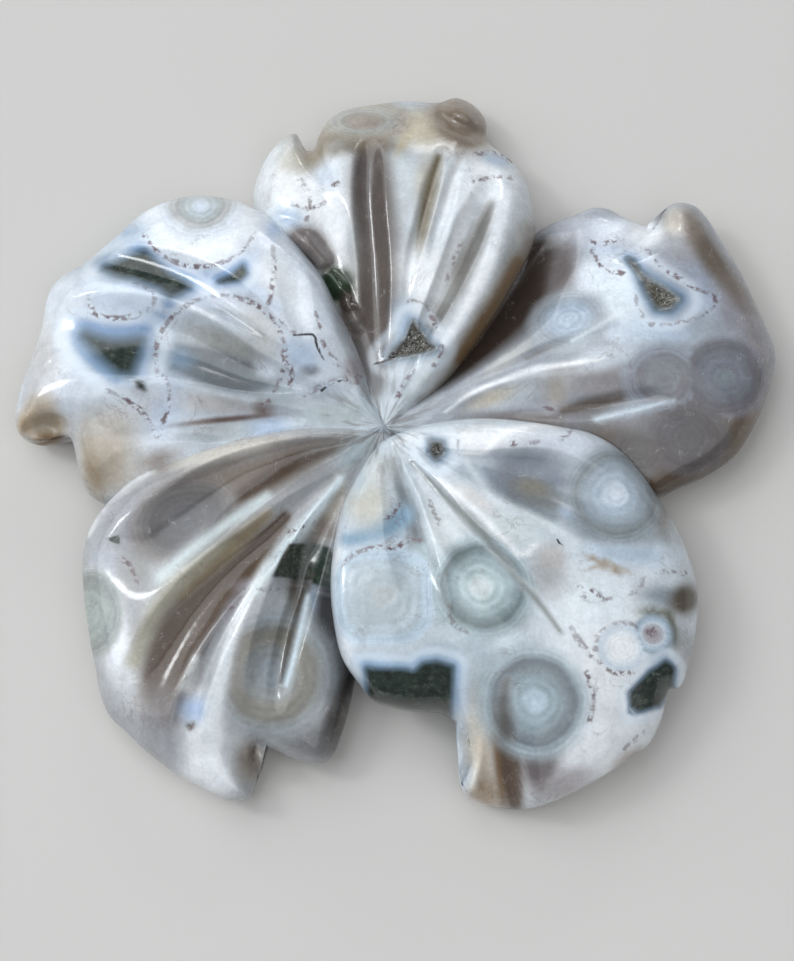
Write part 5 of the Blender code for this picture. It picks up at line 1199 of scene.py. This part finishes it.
def smoothed(rim, reach):
    """The outline with detail shorter than the reach taken off."""
    count = len(rim)
    length = np.linalg.norm(np.diff(rim[:, :2], axis=0, append=rim[:1, :2]), axis=1).sum()
    waves = np.fft.fftfreq(count, d=length / count)
    fade = np.exp(-2 * (math.pi * waves * reach) ** 2)
    return np.real(np.fft.ifft(np.fft.fft(rim[:, :2], axis=0) * fade[:, None], axis=0))


def oval_gap(points, x, y, long, wide, turn, power=2.0):
    """Distance from an oval's centre, 1 on its edge."""
    angle = math.radians(turn)
    across = points[:, 0] - x
    up = points[:, 1] - y
    u = (across * math.cos(angle) + up * math.sin(angle)) / long
    v = (up * math.cos(angle) - across * math.sin(angle)) / wide
    return (np.abs(u) ** power + np.abs(v) ** power) ** (1 / power)


def paint(petal, points):
    """The stone's ground colour, with its painted shade and highlights, orbs, pockets, seams and
    cracks at plan points of one petal.
    """
    count = len(points)
    ground = np.tile(np.array(petal["ground"]), (count, 1))
    for amount, colour, rows in petal["streaks"]:
        path = spline(rows, False, 0.7)
        gap, row, _ = closest(points, path, False)
        weight = amount * np.exp(-0.7 * (gap / row[:, 2]) ** 2)
        ground += np.clip(weight, 0, 1)[:, None] * (np.array(colour) - ground)
    for x, y, long, wide, turn, amount, colour in petal["stains"]:
        share = oval_gap(points, x, y, long, wide, turn)
        weight = np.clip(amount * np.exp(-0.7 * share**3), 0, 1)
        ground += weight[:, None] * (np.array(colour) - ground)
    ring = np.full(count, 3.0)
    strength = np.zeros(count)
    colours = np.zeros((5, count, 3))
    for x, y, long, wide, turn, power, reach, amount, bands in petal["orbs"]:
        share = oval_gap(points, x, y, long, wide, turn, power)
        share = np.where(share > 1, 1 + (share - 1) / (reach - 1), share)
        near = share < ring
        ring[near] = share[near]
        strength[near] = amount
        for layer, colour in zip(colours, bands):
            layer[near] = colour
    for amount, colour, rows in petal["crests"]:
        path = spline(rows, False, 0.7)
        gap, row, _ = closest(points, path, False)
        weight = np.clip(amount * np.exp(-0.7 * (gap / row[:, 2]) ** 2), 0, 1)
        ground += weight[:, None] * (np.array(colour) - ground)
        strength *= 1 - weight
    pocket = np.full(count, 4.0)
    glow = np.full(count, 1.0)
    druse = np.zeros(count)
    rim = np.zeros(count)
    for lining, reach, amount, corners in petal["pockets"]:
        gap = polygon_gap(points, corners)
        near = gap / reach < pocket / glow
        pocket[near] = gap[near]
        glow[near] = reach
        druse[near] = lining
        rim[near] = amount
    seam = np.full(count, 3.0)
    for rows in petal["seams"]:
        gap, _, _ = closest(points, spline(rows, False, 0.5), False)
        seam = np.minimum(seam, gap)
    crack = np.full(count, 3.0)
    for rows in petal["cracks"]:
        gap, _, _ = closest(points, spline(rows, False, 0.5), False)
        crack = np.minimum(crack, gap)
    ground = DEEPER[0] * np.clip(ground, 0, 1) ** np.array(DEEPER[1:])
    return {
        "ground": ground,
        "orb_heart": colours[0],
        "orb_inner": colours[1],
        "orb_ring": colours[2],
        "orb_rim": colours[3],
        "orb_halo": colours[4],
        "orb_share": np.clip(ring, 0, 3),
        "orb_strength": strength,
        "pocket_gap": np.clip(pocket, -3, 4),
        "pocket_glow": glow,
        "pocket_druse": druse,
        "pocket_rim": rim,
        "seam_gap": seam,
        "crack_gap": crack,
    }


def petal_mesh(name, petal, start):
    """A sphere with its equator on the petal's rim, pressed to the petal's top and underside."""
    obj = start.copy()
    obj.data = start.data.copy()
    obj.name = name
    bpy.context.scene.collection.objects.link(obj)
    ball = np.empty(len(obj.data.vertices) * 3)
    obj.data.vertices.foreach_get("co", ball)
    ball = ball.reshape(-1, 3)
    rings = TOP_RINGS + UNDER_RINGS
    ring = np.rint(np.arccos(np.clip(ball[:, 2], -1, 1)) / math.pi * rings).astype(int)
    turn = np.arctan2(ball[:, 1], ball[:, 0]) / (2 * math.pi) % 1
    meridian = np.rint(turn * MERIDIANS).astype(int) % MERIDIANS
    on_top = ring <= TOP_RINGS

    rim = spline(petal["rim"], True, MERIDIANS)
    area = np.sum(rim[:, 0] * np.roll(rim[:, 1], -1) - np.roll(rim[:, 0], -1) * rim[:, 1])
    if area < 0:
        rim = rim[::-1]
    plain = smoothed(rim, SMOOTH_OUTLINE)
    pole = np.array(petal["pole"])
    far = np.linalg.norm(plain - pole, axis=1)

    edge = rim[meridian]
    reach = far[meridian]
    roll = edge[:, 4]
    rolled = np.clip(roll / reach, 0.02, 0.6)
    top_share = ring / TOP_RINGS
    under_share = (rings - ring) / UNDER_RINGS
    bend = 0.8
    inner = top_share / bend * (1 - rolled)
    angle = np.clip((top_share - bend) / (1 - bend), 0, 1) * math.pi / 2
    outer = 1 - rolled * (1 - np.sin(angle))
    radius = np.where(top_share < bend, inner, outer)
    under_angle = np.clip((under_share - 0.5) * 2, 0, 1) * math.pi / 2
    under_outer = 1 - rolled * (1 - np.sin(under_angle))
    under_inner = under_share * 2 * (1 - rolled)
    radius = np.where(on_top, radius, np.where(under_share < 0.5, under_inner, under_outer))

    detail = (edge[:, :2] - plain[meridian]) * step_up(radius, 0.55, 1.0)[:, None]
    points = pole + (plain[meridian] - pole) * radius[:, None] + detail

    sheet = sheet_height([row[:3] for row in petal["rim"][::2]] + list(petal["sheet"]))
    gap, near, _ = closest(points, rim, True)
    gap = np.where(radius > 0.9999, 0, gap)
    share = np.clip(gap / near[:, 4], 0, 1)
    swell = np.sqrt(np.clip(1 - (1 - share) ** 2, 0, 1))
    top = top_height(petal, points, sheet)
    middle = np.minimum(near[:, 2], top + 0.2) - near[:, 3] * 0.5
    upper = middle + (top - middle) * swell
    spot = placed(points, upper)
    out = np.hypot(spot[:, 0], spot[:, 1])
    lift = step_up(out, FOOT_RADIUS, FREE_RADIUS)
    below = BURIED_Z + (near[:, 2] - near[:, 3] - BURIED_Z) * lift
    below = np.minimum(below, upper - 1.0)
    lower = middle - (middle - below) * swell
    level = np.where(on_top, upper, lower)
    level = np.where(ring == TOP_RINGS, middle, level)
    done = np.column_stack([spot, level]) * MM
    obj.data.vertices.foreach_set("co", done.ravel())
    obj.data.update()
    return obj


def apply(obj, kind, **settings):
    bpy.ops.object.select_all(action="DESELECT")
    obj.select_set(True)
    bpy.context.view_layer.objects.active = obj
    modifier = obj.modifiers.new(kind.title(), kind)
    for name, value in settings.items():
        setattr(modifier, name, value)
    bpy.ops.object.modifier_apply(modifier=modifier.name)


def flatten_foot(obj):
    """Grinds off what is below z = 0 and closes the cut."""
    mesh = bmesh.new()
    mesh.from_mesh(obj.data)
    everything = mesh.verts[:] + mesh.edges[:] + mesh.faces[:]
    bmesh.ops.bisect_plane(
        mesh, geom=everything, dist=1e-6, plane_co=(0, 0, 0), plane_no=(0, 0, 1), clear_inner=True
    )
    open_edges = [edge for edge in mesh.edges if edge.is_boundary]
    bmesh.ops.triangle_fill(mesh, edges=open_edges, use_beauty=True, normal=(0, 0, -1))
    bmesh.ops.recalc_face_normals(mesh, faces=mesh.faces[:])
    mesh.to_mesh(obj.data)
    mesh.free()


def around(vert):
    """A vertex's place, then its neighbours', which tell apart two vertices at one place."""
    return vert.co[:], sorted(edge.other_vert(vert).co[:] for edge in vert.link_edges)


def put_in_order(obj):
    """Stores vertices, edges and faces sorted by place, since their order differs from run to run."""
    old = bmesh.new()
    old.from_mesh(obj.data)
    mark = old.faces.layers.int["petal"]
    new = bmesh.new()
    new_mark = new.faces.layers.int.new("petal")
    for place, vert in enumerate(sorted(old.verts, key=around)):
        vert.index = place
        new.verts.new(vert.co)
    new.verts.ensure_lookup_table()
    for ends in sorted(sorted(vert.index for vert in edge.verts) for edge in old.edges):
        new.edges.new([new.verts[end] for end in ends])
    rows = []
    for face in old.faces:
        corners = [vert.index for vert in face.verts]
        first = corners.index(min(corners))
        rows.append((corners[first:] + corners[:first], face[mark]))
    for corners, owner in sorted(rows):
        face = new.faces.new([new.verts[corner] for corner in corners])
        face[new_mark] = owner
    new.to_mesh(obj.data)
    old.free()
    new.free()


def carve_stone():
    """Fuses the petals, grinds the foot flat, and marks each face's petal."""
    bpy.ops.object.select_all(action="DESELECT")
    bpy.ops.mesh.primitive_uv_sphere_add(segments=MERIDIANS, ring_count=TOP_RINGS + UNDER_RINGS)
    start = bpy.context.object
    pieces = []
    for index, petal in enumerate(PETALS):
        piece = petal_mesh(f"petal_{index}", petal, start)
        mark = piece.data.attributes.new("petal", "INT", "FACE")
        mark.data.foreach_set("value", np.full(len(piece.data.polygons), index, np.int32))
        pieces.append(piece)
    bpy.data.objects.remove(start, do_unlink=True)
    stone = pieces[0]
    for piece in pieces[1:]:
        apply(stone, "BOOLEAN", operation="UNION", solver="MANIFOLD", object=piece)
        bpy.data.objects.remove(piece, do_unlink=True)
    stone.name = "carved_flower"
    flatten_foot(stone)
    put_in_order(stone)
    apply(stone, "SMOOTH", factor=0.5, iterations=3)
    count = sum(len(face.vertices) - 2 for face in stone.data.polygons)
    apply(stone, "DECIMATE", ratio=min(1.0, TRIANGLES / count), use_collapse_triangulate=True)
    bpy.ops.object.select_all(action="DESELECT")
    stone.select_set(True)
    bpy.context.view_layer.objects.active = stone
    bpy.ops.object.shade_smooth_by_angle(angle=math.radians(55))
    return stone


def seen_from_eye(points):
    eye = np.array(EYE)
    share = (eye[2] - PLAN_Z) / (eye[2] - points[:, 2])
    return eye[:2] + (points[:, :2] - eye[:2]) * share[:, None]


def paint_stone(stone):
    mesh = stone.data
    spots = np.empty(len(mesh.vertices) * 3)
    mesh.vertices.foreach_get("co", spots)
    plan = seen_from_eye(spots.reshape(-1, 3) / MM)
    owner = np.empty(len(mesh.polygons), np.int32)
    mesh.attributes["petal"].data.foreach_get("value", owner)
    starts = np.empty(len(mesh.polygons), np.int32)
    totals = np.empty(len(mesh.polygons), np.int32)
    corners = np.empty(len(mesh.loops), np.int32)
    mesh.polygons.foreach_get("loop_start", starts)
    mesh.polygons.foreach_get("loop_total", totals)
    mesh.loops.foreach_get("vertex_index", corners)
    order = np.argsort(starts)
    corner_owner = np.repeat(owner[order], totals[order])
    layers = {}
    for index, petal in enumerate(PETALS):
        mine = np.where(corner_owner == index)[0]
        used, back = np.unique(corners[mine], return_inverse=True)
        for name, values in paint(petal, plan[used]).items():
            if name not in layers:
                layers[name] = np.zeros((len(corners),) + values.shape[1:])
            layers[name][mine] = values[back]
    for name, values in layers.items():
        if values.ndim == 2:
            layer = mesh.attributes.new(name, "FLOAT_COLOR", "CORNER")
            full = np.ones((len(corners), 4), np.float32)
            full[:, :3] = values
            layer.data.foreach_set("color", full.ravel())
        else:
            layer = mesh.attributes.new(name, "FLOAT", "CORNER")
            layer.data.foreach_set("value", values.astype(np.float32))


def crystal():
    """One six-sided point, a unit tall."""
    bpy.ops.object.select_all(action="DESELECT")
    bpy.ops.mesh.primitive_cylinder_add(vertices=6, radius=0.42, depth=0.6, location=(0, 0, 0.3))
    obj = bpy.context.object
    bpy.ops.object.transform_apply(location=True, rotation=True, scale=True)
    mesh = bmesh.new()
    mesh.from_mesh(obj.data)
    top = max(mesh.faces, key=lambda face: face.calc_center_median().z)
    tip = bmesh.ops.extrude_discrete_faces(mesh, faces=[top])["faces"][0]
    bmesh.ops.translate(mesh, verts=tip.verts[:], vec=(0, 0, 0.4))
    bmesh.ops.pointmerge(mesh, verts=tip.verts[:], merge_co=(0.05, 0.02, 1.0))
    bmesh.ops.remove_doubles(mesh, verts=mesh.verts[:], dist=1e-4)
    bmesh.ops.recalc_face_normals(mesh, faces=mesh.faces[:])
    mesh.to_mesh(obj.data)
    mesh.free()
    return obj


def grow_druse():
    """Fills each hollow with small crystals."""
    chance = random.Random(11)
    start = crystal()
    grown = []
    for petal in PETALS:
        sheet = sheet_height([row[:3] for row in petal["rim"][::2]] + list(petal["sheet"]))
        for corners, depth in petal["hollows"]:
            spots = np.asarray(corners, float)
            low, high = spots.min(axis=0), spots.max(axis=0)
            area = (high - low).prod()
            seeds = []
            for _ in range(int(area * 26)):
                seeds.append([chance.uniform(low[k], high[k]) for k in range(2)])
            seeds = np.array(seeds)
            seeds = seeds[polygon_gap(seeds, corners) < -0.05]
            spots = placed(seeds, top_height(petal, seeds, sheet))
            levels = top_height(petal, seeds, sheet)
            for spot, level in zip(spots, levels):
                piece = start.copy()
                piece.data = start.data.copy()
                wide = chance.uniform(0.16, 0.34)
                tall = wide * chance.uniform(1.2, 2.0)
                size = Matrix.Diagonal((wide, wide, tall, 1.0))
                lean = Euler((chance.gauss(0, 0.5), chance.gauss(0, 0.5), chance.uniform(0, 6.28)))
                where = Matrix.Translation((spot[0], spot[1], level - 0.12))
                piece.data.transform(Matrix.Scale(MM, 4) @ where @ lean.to_matrix().to_4x4() @ size)
                bpy.context.scene.collection.objects.link(piece)
                grown.append(piece)
    bpy.data.objects.remove(start, do_unlink=True)
    bpy.ops.object.select_all(action="DESELECT")
    for piece in grown:
        piece.select_set(True)
    bpy.context.view_layer.objects.active = grown[0]
    bpy.ops.object.join()
    druse = bpy.context.object
    druse.name = "druse_crystals"
    return druse


class Nodes:
    """Short calls for making and joining shader nodes."""

    def __init__(self, name):
        self.material = bpy.data.materials.new(name)
        self.material.use_nodes = True
        self.tree = self.material.node_tree
        self.shader = self.tree.nodes["Principled BSDF"]

    def link(self, source, socket):
        if isinstance(source, bpy.types.NodeSocket):
            self.tree.links.new(source, socket)
        elif isinstance(source, tuple) and len(source) == 3 and socket.type == "RGBA":
            socket.default_value = source + (1.0,)
        else:
            socket.default_value = source

    def attribute(self, name, colour=False):
        node = self.tree.nodes.new("ShaderNodeAttribute")
        node.attribute_name = name
        return node.outputs["Color" if colour else "Fac"]

    def place(self):
        node = self.tree.nodes.new("ShaderNodeTexCoord")
        return node.outputs["Object"]

    def noise(self, scale, detail=2.0, roughness=0.5, colour=False, warp=0.0, where=None):
        node = self.tree.nodes.new("ShaderNodeTexNoise")
        node.inputs["Scale"].default_value = scale
        node.inputs["Detail"].default_value = detail
        node.inputs["Roughness"].default_value = roughness
        node.inputs["Distortion"].default_value = warp
        self.link(where or self.place(), node.inputs["Vector"])
        return node.outputs["Color" if colour else "Fac"]

    def math(self, kind, a, b=0.0, c=0.0, clamp=False):
        node = self.tree.nodes.new("ShaderNodeMath")
        node.operation = kind
        node.use_clamp = clamp
        for value, socket in zip((a, b, c), node.inputs):
            self.link(value, socket)
        return node.outputs[0]

    def span(self, value, low, high, to_low=0.0, to_high=1.0):
        node = self.tree.nodes.new("ShaderNodeMapRange")
        node.interpolation_type = "SMOOTHSTEP"
        for item, socket in zip((value, low, high, to_low, to_high), node.inputs):
            self.link(item, socket)
        return node.outputs[0]

    def ramp(self, value, stops):
        node = self.tree.nodes.new("ShaderNodeValToRGB")
        bar = node.color_ramp
        while len(bar.elements) < len(stops):
            bar.elements.new(1.0)
        for element, (place, colour) in zip(bar.elements, stops):
            element.position = place
            element.color = colour + (1.0,)
        self.link(value, node.inputs[0])
        return node.outputs[0]

    def mix(self, amount, a, b, kind="MIX"):
        node = self.tree.nodes.new("ShaderNodeMix")
        node.data_type = "RGBA"
        node.blend_type = kind
        node.clamp_factor = True
        self.link(amount, node.inputs[0])
        self.link(a, node.inputs[6])
        self.link(b, node.inputs[7])
        return node.outputs[2]

    def bump(self, height, strength, distance):
        node = self.tree.nodes.new("ShaderNodeBump")
        node.inputs["Strength"].default_value = strength
        node.inputs["Distance"].default_value = distance
        self.link(height, node.inputs["Height"])
        return node.outputs[0]


def stone_material():
    n = Nodes("ocean_jasper")
    # The ground: drawn stain colours with their painted shade and highlights, clouded and veined by
    # noise.
    clouds = n.noise(170.0, 4.0, 0.55, warp=0.6)
    mottle = n.noise(620.0, 4.0, 0.6)
    grain = n.noise(2600.0, 3.0, 0.6)
    ground = n.attribute("ground", True)
    shade = n.span(clouds, 0.3, 0.7, 0.92, 1.06)
    shade = n.math("MULTIPLY", shade, n.span(mottle, 0.3, 0.7, 0.93, 1.06))
    shade = n.math("MULTIPLY", shade, n.span(grain, 0.3, 0.7, 0.94, 1.05))
    tint = n.noise(95.0, 3.0, 0.5)
    warm = n.mix(1.0, ground, (1.0, 0.93, 0.82), "MULTIPLY")
    colour = n.mix(n.span(tint, 0.45, 0.75, 0.0, 0.25), ground, warm)

    # Orbs: five bands from heart to halo, with faint growth rings.
    wander = n.math("SUBTRACT", n.noise(300.0, 2.0, 0.5), 0.5)
    drift = n.math("SUBTRACT", n.noise(120.0, 1.0, 0.5), 0.5)
    share = n.math("ADD", n.attribute("orb_share"), n.math("MULTIPLY", wander, 0.2))
    share = n.math("ADD", share, n.math("MULTIPLY", drift, 0.34))
    orb = n.attribute("orb_heart", True)
    orb = n.mix(n.span(share, 0.12, 0.45), orb, n.attribute("orb_inner", True))
    orb = n.mix(n.span(share, 0.48, 0.86), orb, n.attribute("orb_ring", True))
    orb = n.mix(n.span(share, 0.80, 1.04), orb, n.attribute("orb_rim", True))
    orb = n.mix(n.span(share, 1.0, 1.5), orb, n.attribute("orb_halo", True))
    wave = n.math("SINE", n.math("MULTIPLY", share, 27.0))
    faint = n.span(n.noise(450.0, 2.0), 0.4, 0.65, 0.03, 0.10)
    orb = n.mix(1.0, orb, n.math("MULTIPLY_ADD", wave, faint, 1.0), "MULTIPLY")
    hold = n.math("MULTIPLY", n.span(share, 1.2, 2.05, 1.0, 0.0), n.attribute("orb_strength"))
    colour = n.mix(hold, colour, orb)
    colour = n.mix(1.0, colour, shade, "MULTIPLY")

    # Dark green pockets: a soft blue edge, then a pale line.
    glow = n.attribute("pocket_glow")
    gap = n.math("ADD", n.attribute("pocket_gap"), n.math("MULTIPLY", wander, 0.4))
    far = n.math("DIVIDE", gap, glow)
    pale = n.math("MULTIPLY", n.span(far, 0.7, 1.3), n.span(far, 1.4, 2.1, 1.0, 0.0))
    rim = n.attribute("pocket_rim")
    pale = n.math("MULTIPLY", pale, n.math("MULTIPLY", rim, 0.55))
    colour = n.mix(pale, colour, (0.78, 0.86, 0.94))
    blue = n.mix(n.span(far, 0.3, 1.0), (0.13, 0.21, 0.30), (0.36, 0.52, 0.74))
    halo = n.math("MULTIPLY", n.span(far, 0.2, 1.1, 0.9, 0.0), rim)
    colour = n.mix(halo, colour, blue)
    moss = n.ramp(
        n.noise(1100.0, 5.0, 0.7),
        [(0.35, (0.006, 0.013, 0.010)), (0.55, (0.022, 0.036, 0.027)), (0.75, (0.10, 0.12, 0.09))],
    )
    crust = n.ramp(
        n.noise(1800.0, 3.0, 0.7),
        [(0.3, (0.05, 0.045, 0.035)), (0.55, (0.16, 0.15, 0.12)), (0.75, (0.42, 0.41, 0.37))],
    )
    lining = n.mix(n.attribute("pocket_druse"), moss, crust)
    colour = n.mix(n.span(far, -0.25, 0.55, 1.0, 0.0), colour, lining)

    # Hair veins, broken up by patches.
    patch = n.span(n.noise(140.0, 2.0, 0.6), 0.48, 0.66)
    lines = n.math("ABSOLUTE", n.math("SUBTRACT", n.noise(210.0, 5.0, 0.62, warp=0.9), 0.5))
    vein = n.math("MULTIPLY", n.span(lines, 0.003, 0.016, 0.35, 0.0), patch)
    colour = n.mix(vein, colour, (0.20, 0.145, 0.14))
    pale_lines = n.math("ABSOLUTE", n.math("SUBTRACT", n.noise(330.0, 5.0, 0.65, warp=0.6), 0.5))
    scuff = n.math("MULTIPLY", n.span(pale_lines, 0.002, 0.012, 0.22, 0.0), n.span(mottle, 0.5, 0.7))
    colour = n.mix(scuff, colour, (0.86, 0.90, 0.93))

    # The frosted centre, with fine grooves running out from it, painted dark as shade in the grooves.
    axes = n.tree.nodes.new("ShaderNodeSeparateXYZ")
    n.link(n.place(), axes.inputs[0])
    flat = n.tree.nodes.new("ShaderNodeCombineXYZ")
    n.link(axes.outputs["X"], flat.inputs["X"])
    n.link(axes.outputs["Y"], flat.inputs["Y"])
    length = n.tree.nodes.new("ShaderNodeVectorMath")
    length.operation = "LENGTH"
    n.link(flat.outputs[0], length.inputs[0])
    out = length.outputs["Value"]
    spokes = n.tree.nodes.new("ShaderNodeCombineXYZ")
    n.link(n.math("MULTIPLY", n.math("DIVIDE", axes.outputs["X"], out), 5.0), spokes.inputs["X"])
    n.link(n.math("MULTIPLY", n.math("DIVIDE", axes.outputs["Y"], out), 5.0), spokes.inputs["Y"])
    n.link(n.math("MULTIPLY", out, 230.0), spokes.inputs["Z"])
    rays = n.noise(1.0, 5.0, 0.6, where=spokes.outputs[0])
    near = n.span(out, 0.001, 0.0115, 0.8, 0.0)
    frost = n.mix(mottle, (0.30, 0.38, 0.40), (0.74, 0.82, 0.86))
    colour = n.mix(n.math("MULTIPLY", near, 0.28), colour, frost)
    # Painted shade in the fine grooves.
    crease_shade = n.math("MULTIPLY", n.span(rays, 0.36, 0.52, 0.8, 0.0), near)
    colour = n.mix(crease_shade, colour, (0.13, 0.115, 0.105))
    streak = n.math("MULTIPLY", n.span(rays, 0.54, 0.72, 0.0, 0.45), near)
    colour = n.mix(streak, colour, (0.80, 0.87, 0.90))

    # Dotted seams and fine cracks.
    dots = n.noise(1500.0, 2.0, 0.6)
    stray = n.math("SUBTRACT", n.noise(500.0, 2.0, 0.6), 0.5)
    seam = n.math("ADD", n.attribute("seam_gap"), n.math("MULTIPLY", stray, 0.7))
    band = n.math("MULTIPLY", n.span(seam, 0.05, 0.4, 1.0, 0.0), n.span(dots, 0.41, 0.58))
    band = n.math("MULTIPLY", band, n.span(n.noise(150.0, 2.0), 0.35, 0.6, 0.5, 0.95))
    colour = n.mix(band, colour, (0.14, 0.085, 0.095))
    crack = n.math("ADD", n.attribute("crack_gap"), n.math("MULTIPLY", stray, 0.25))
    colour = n.mix(n.span(crack, 0.06, 0.2, 1.0, 0.0), colour, (0.02, 0.02, 0.025))

    n.link(colour, n.shader.inputs["Base Color"])
    n.shader.inputs["Roughness"].default_value = 0.18
    n.shader.inputs["IOR"].default_value = 1.54
    n.shader.inputs["Coat Weight"].default_value = 0.25
    n.shader.inputs["Coat Roughness"].default_value = 0.06
    n.shader.inputs["Coat IOR"].default_value = 1.5
    n.shader.inputs["Subsurface Weight"].default_value = 0.12
    n.shader.inputs["Subsurface Radius"].default_value = (1.0, 0.9, 0.85)
    n.shader.inputs["Subsurface Scale"].default_value = 0.0009
    ripples = n.noise(240.0, 3.0, 0.5)
    relief = n.math("ADD", ripples, n.math("MULTIPLY", n.math("MULTIPLY", rays, near), 0.9))
    n.link(n.bump(relief, 0.3, 0.0004), n.shader.inputs["Normal"])
    return n.material


def crystal_material():
    n = Nodes("druse_quartz")
    tone = n.ramp(
        n.noise(2400.0, 2.0, 0.6),
        [(0.3, (0.10, 0.09, 0.075)), (0.5, (0.30, 0.29, 0.26)), (0.72, (0.72, 0.72, 0.70))],
    )
    n.link(tone, n.shader.inputs["Base Color"])
    n.shader.inputs["Roughness"].default_value = 0.08
    n.shader.inputs["IOR"].default_value = 1.54
    n.shader.inputs["Transmission Weight"].default_value = 0.35
    return n.material


def floor_material():
    n = Nodes("pale_floor")
    tone = n.span(n.noise(6.0, 3.0), 0.3, 0.7, 0.97, 1.0)
    n.link(n.mix(1.0, (0.66, 0.64, 0.61), tone, "MULTIPLY"), n.shader.inputs["Base Color"])
    n.shader.inputs["Roughness"].default_value = 0.7
    n.shader.inputs["Specular IOR Level"].default_value = 0.2
    return n.material


def add_floor():
    bpy.ops.object.select_all(action="DESELECT")
    bpy.ops.mesh.primitive_plane_add(size=3.0, location=(0, 0, 0))
    floor = bpy.context.object
    floor.name = "studio_floor"
    floor.data.materials.append(floor_material())


def add_camera():
    tilt = math.radians(CAMERA_TILT)
    roll = math.radians(CAMERA_ROLL)
    forward = Vector((0, math.cos(tilt), -math.sin(tilt)))
    level_up = Vector((0, math.sin(tilt), math.cos(tilt)))
    level_right = Vector((1, 0, 0))
    right = math.cos(roll) * level_right + math.sin(roll) * level_up
    up = math.cos(roll) * level_up - math.sin(roll) * level_right
    place = Vector(CAMERA_PLACE) * MM
    data = bpy.data.cameras.new("photo_camera")
    data.sensor_width = SENSOR
    data.lens = SENSOR * FOCAL_PIXELS / FRAME_HEIGHT_PIXELS
    data.clip_start = 0.01
    data.clip_end = 20.0
    camera = bpy.data.objects.new("photo_camera", data)
    bpy.context.scene.collection.objects.link(camera)
    turn = Matrix((right, up, -forward)).transposed()
    camera.matrix_world = Matrix.Translation(place) @ turn.to_4x4()
    bpy.context.scene.camera = camera


def add_light(name, place, size, power, colour):
    data = bpy.data.lights.new(name, "AREA")
    data.shape = "RECTANGLE"
    data.size = size[0]
    data.size_y = size[1]
    data.energy = power
    data.color = colour
    light = bpy.data.objects.new(name, data)
    bpy.context.scene.collection.objects.link(light)
    light.location = place
    aim = Vector((0.0, 0.0, 0.005)) - Vector(place)
    light.rotation_euler = aim.to_track_quat("-Z", "Y").to_euler()


def add_lights():
    add_light("window", (-0.56, 0.22, 0.58), (0.14, 0.18), 1.1, (0.95, 0.98, 1.0))
    add_light("side_panel", (-1.2, 0.73, 1.53), (3.0, 2.6), 40.0, (0.93, 0.97, 1.0))
    add_light("back_window", (0.14, 0.78, 0.34), (0.26, 0.12), 0.5, (0.96, 0.98, 1.0))
    add_light("ceiling", (0.35, -0.40, 1.15), (1.3, 1.3), 4.2, (0.97, 0.985, 1.0))
    world = bpy.data.worlds.new("studio")
    bpy.context.scene.world = world
    world.use_nodes = True
    background = world.node_tree.nodes["Background"]
    background.inputs["Color"].default_value = (0.82, 0.86, 0.92, 1.0)
    background.inputs["Strength"].default_value = 0.29
    bpy.context.scene.view_settings.view_transform = "Standard"


add_camera()
add_floor()
add_lights()
stone = carve_stone()
paint_stone(stone)
stone.data.materials.clear()
stone.data.materials.append(stone_material())
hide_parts("flower_carving")
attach(stone, "root")

druse = grow_druse()
druse.data.materials.clear()
druse.data.materials.append(crystal_material())
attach(druse, "root")
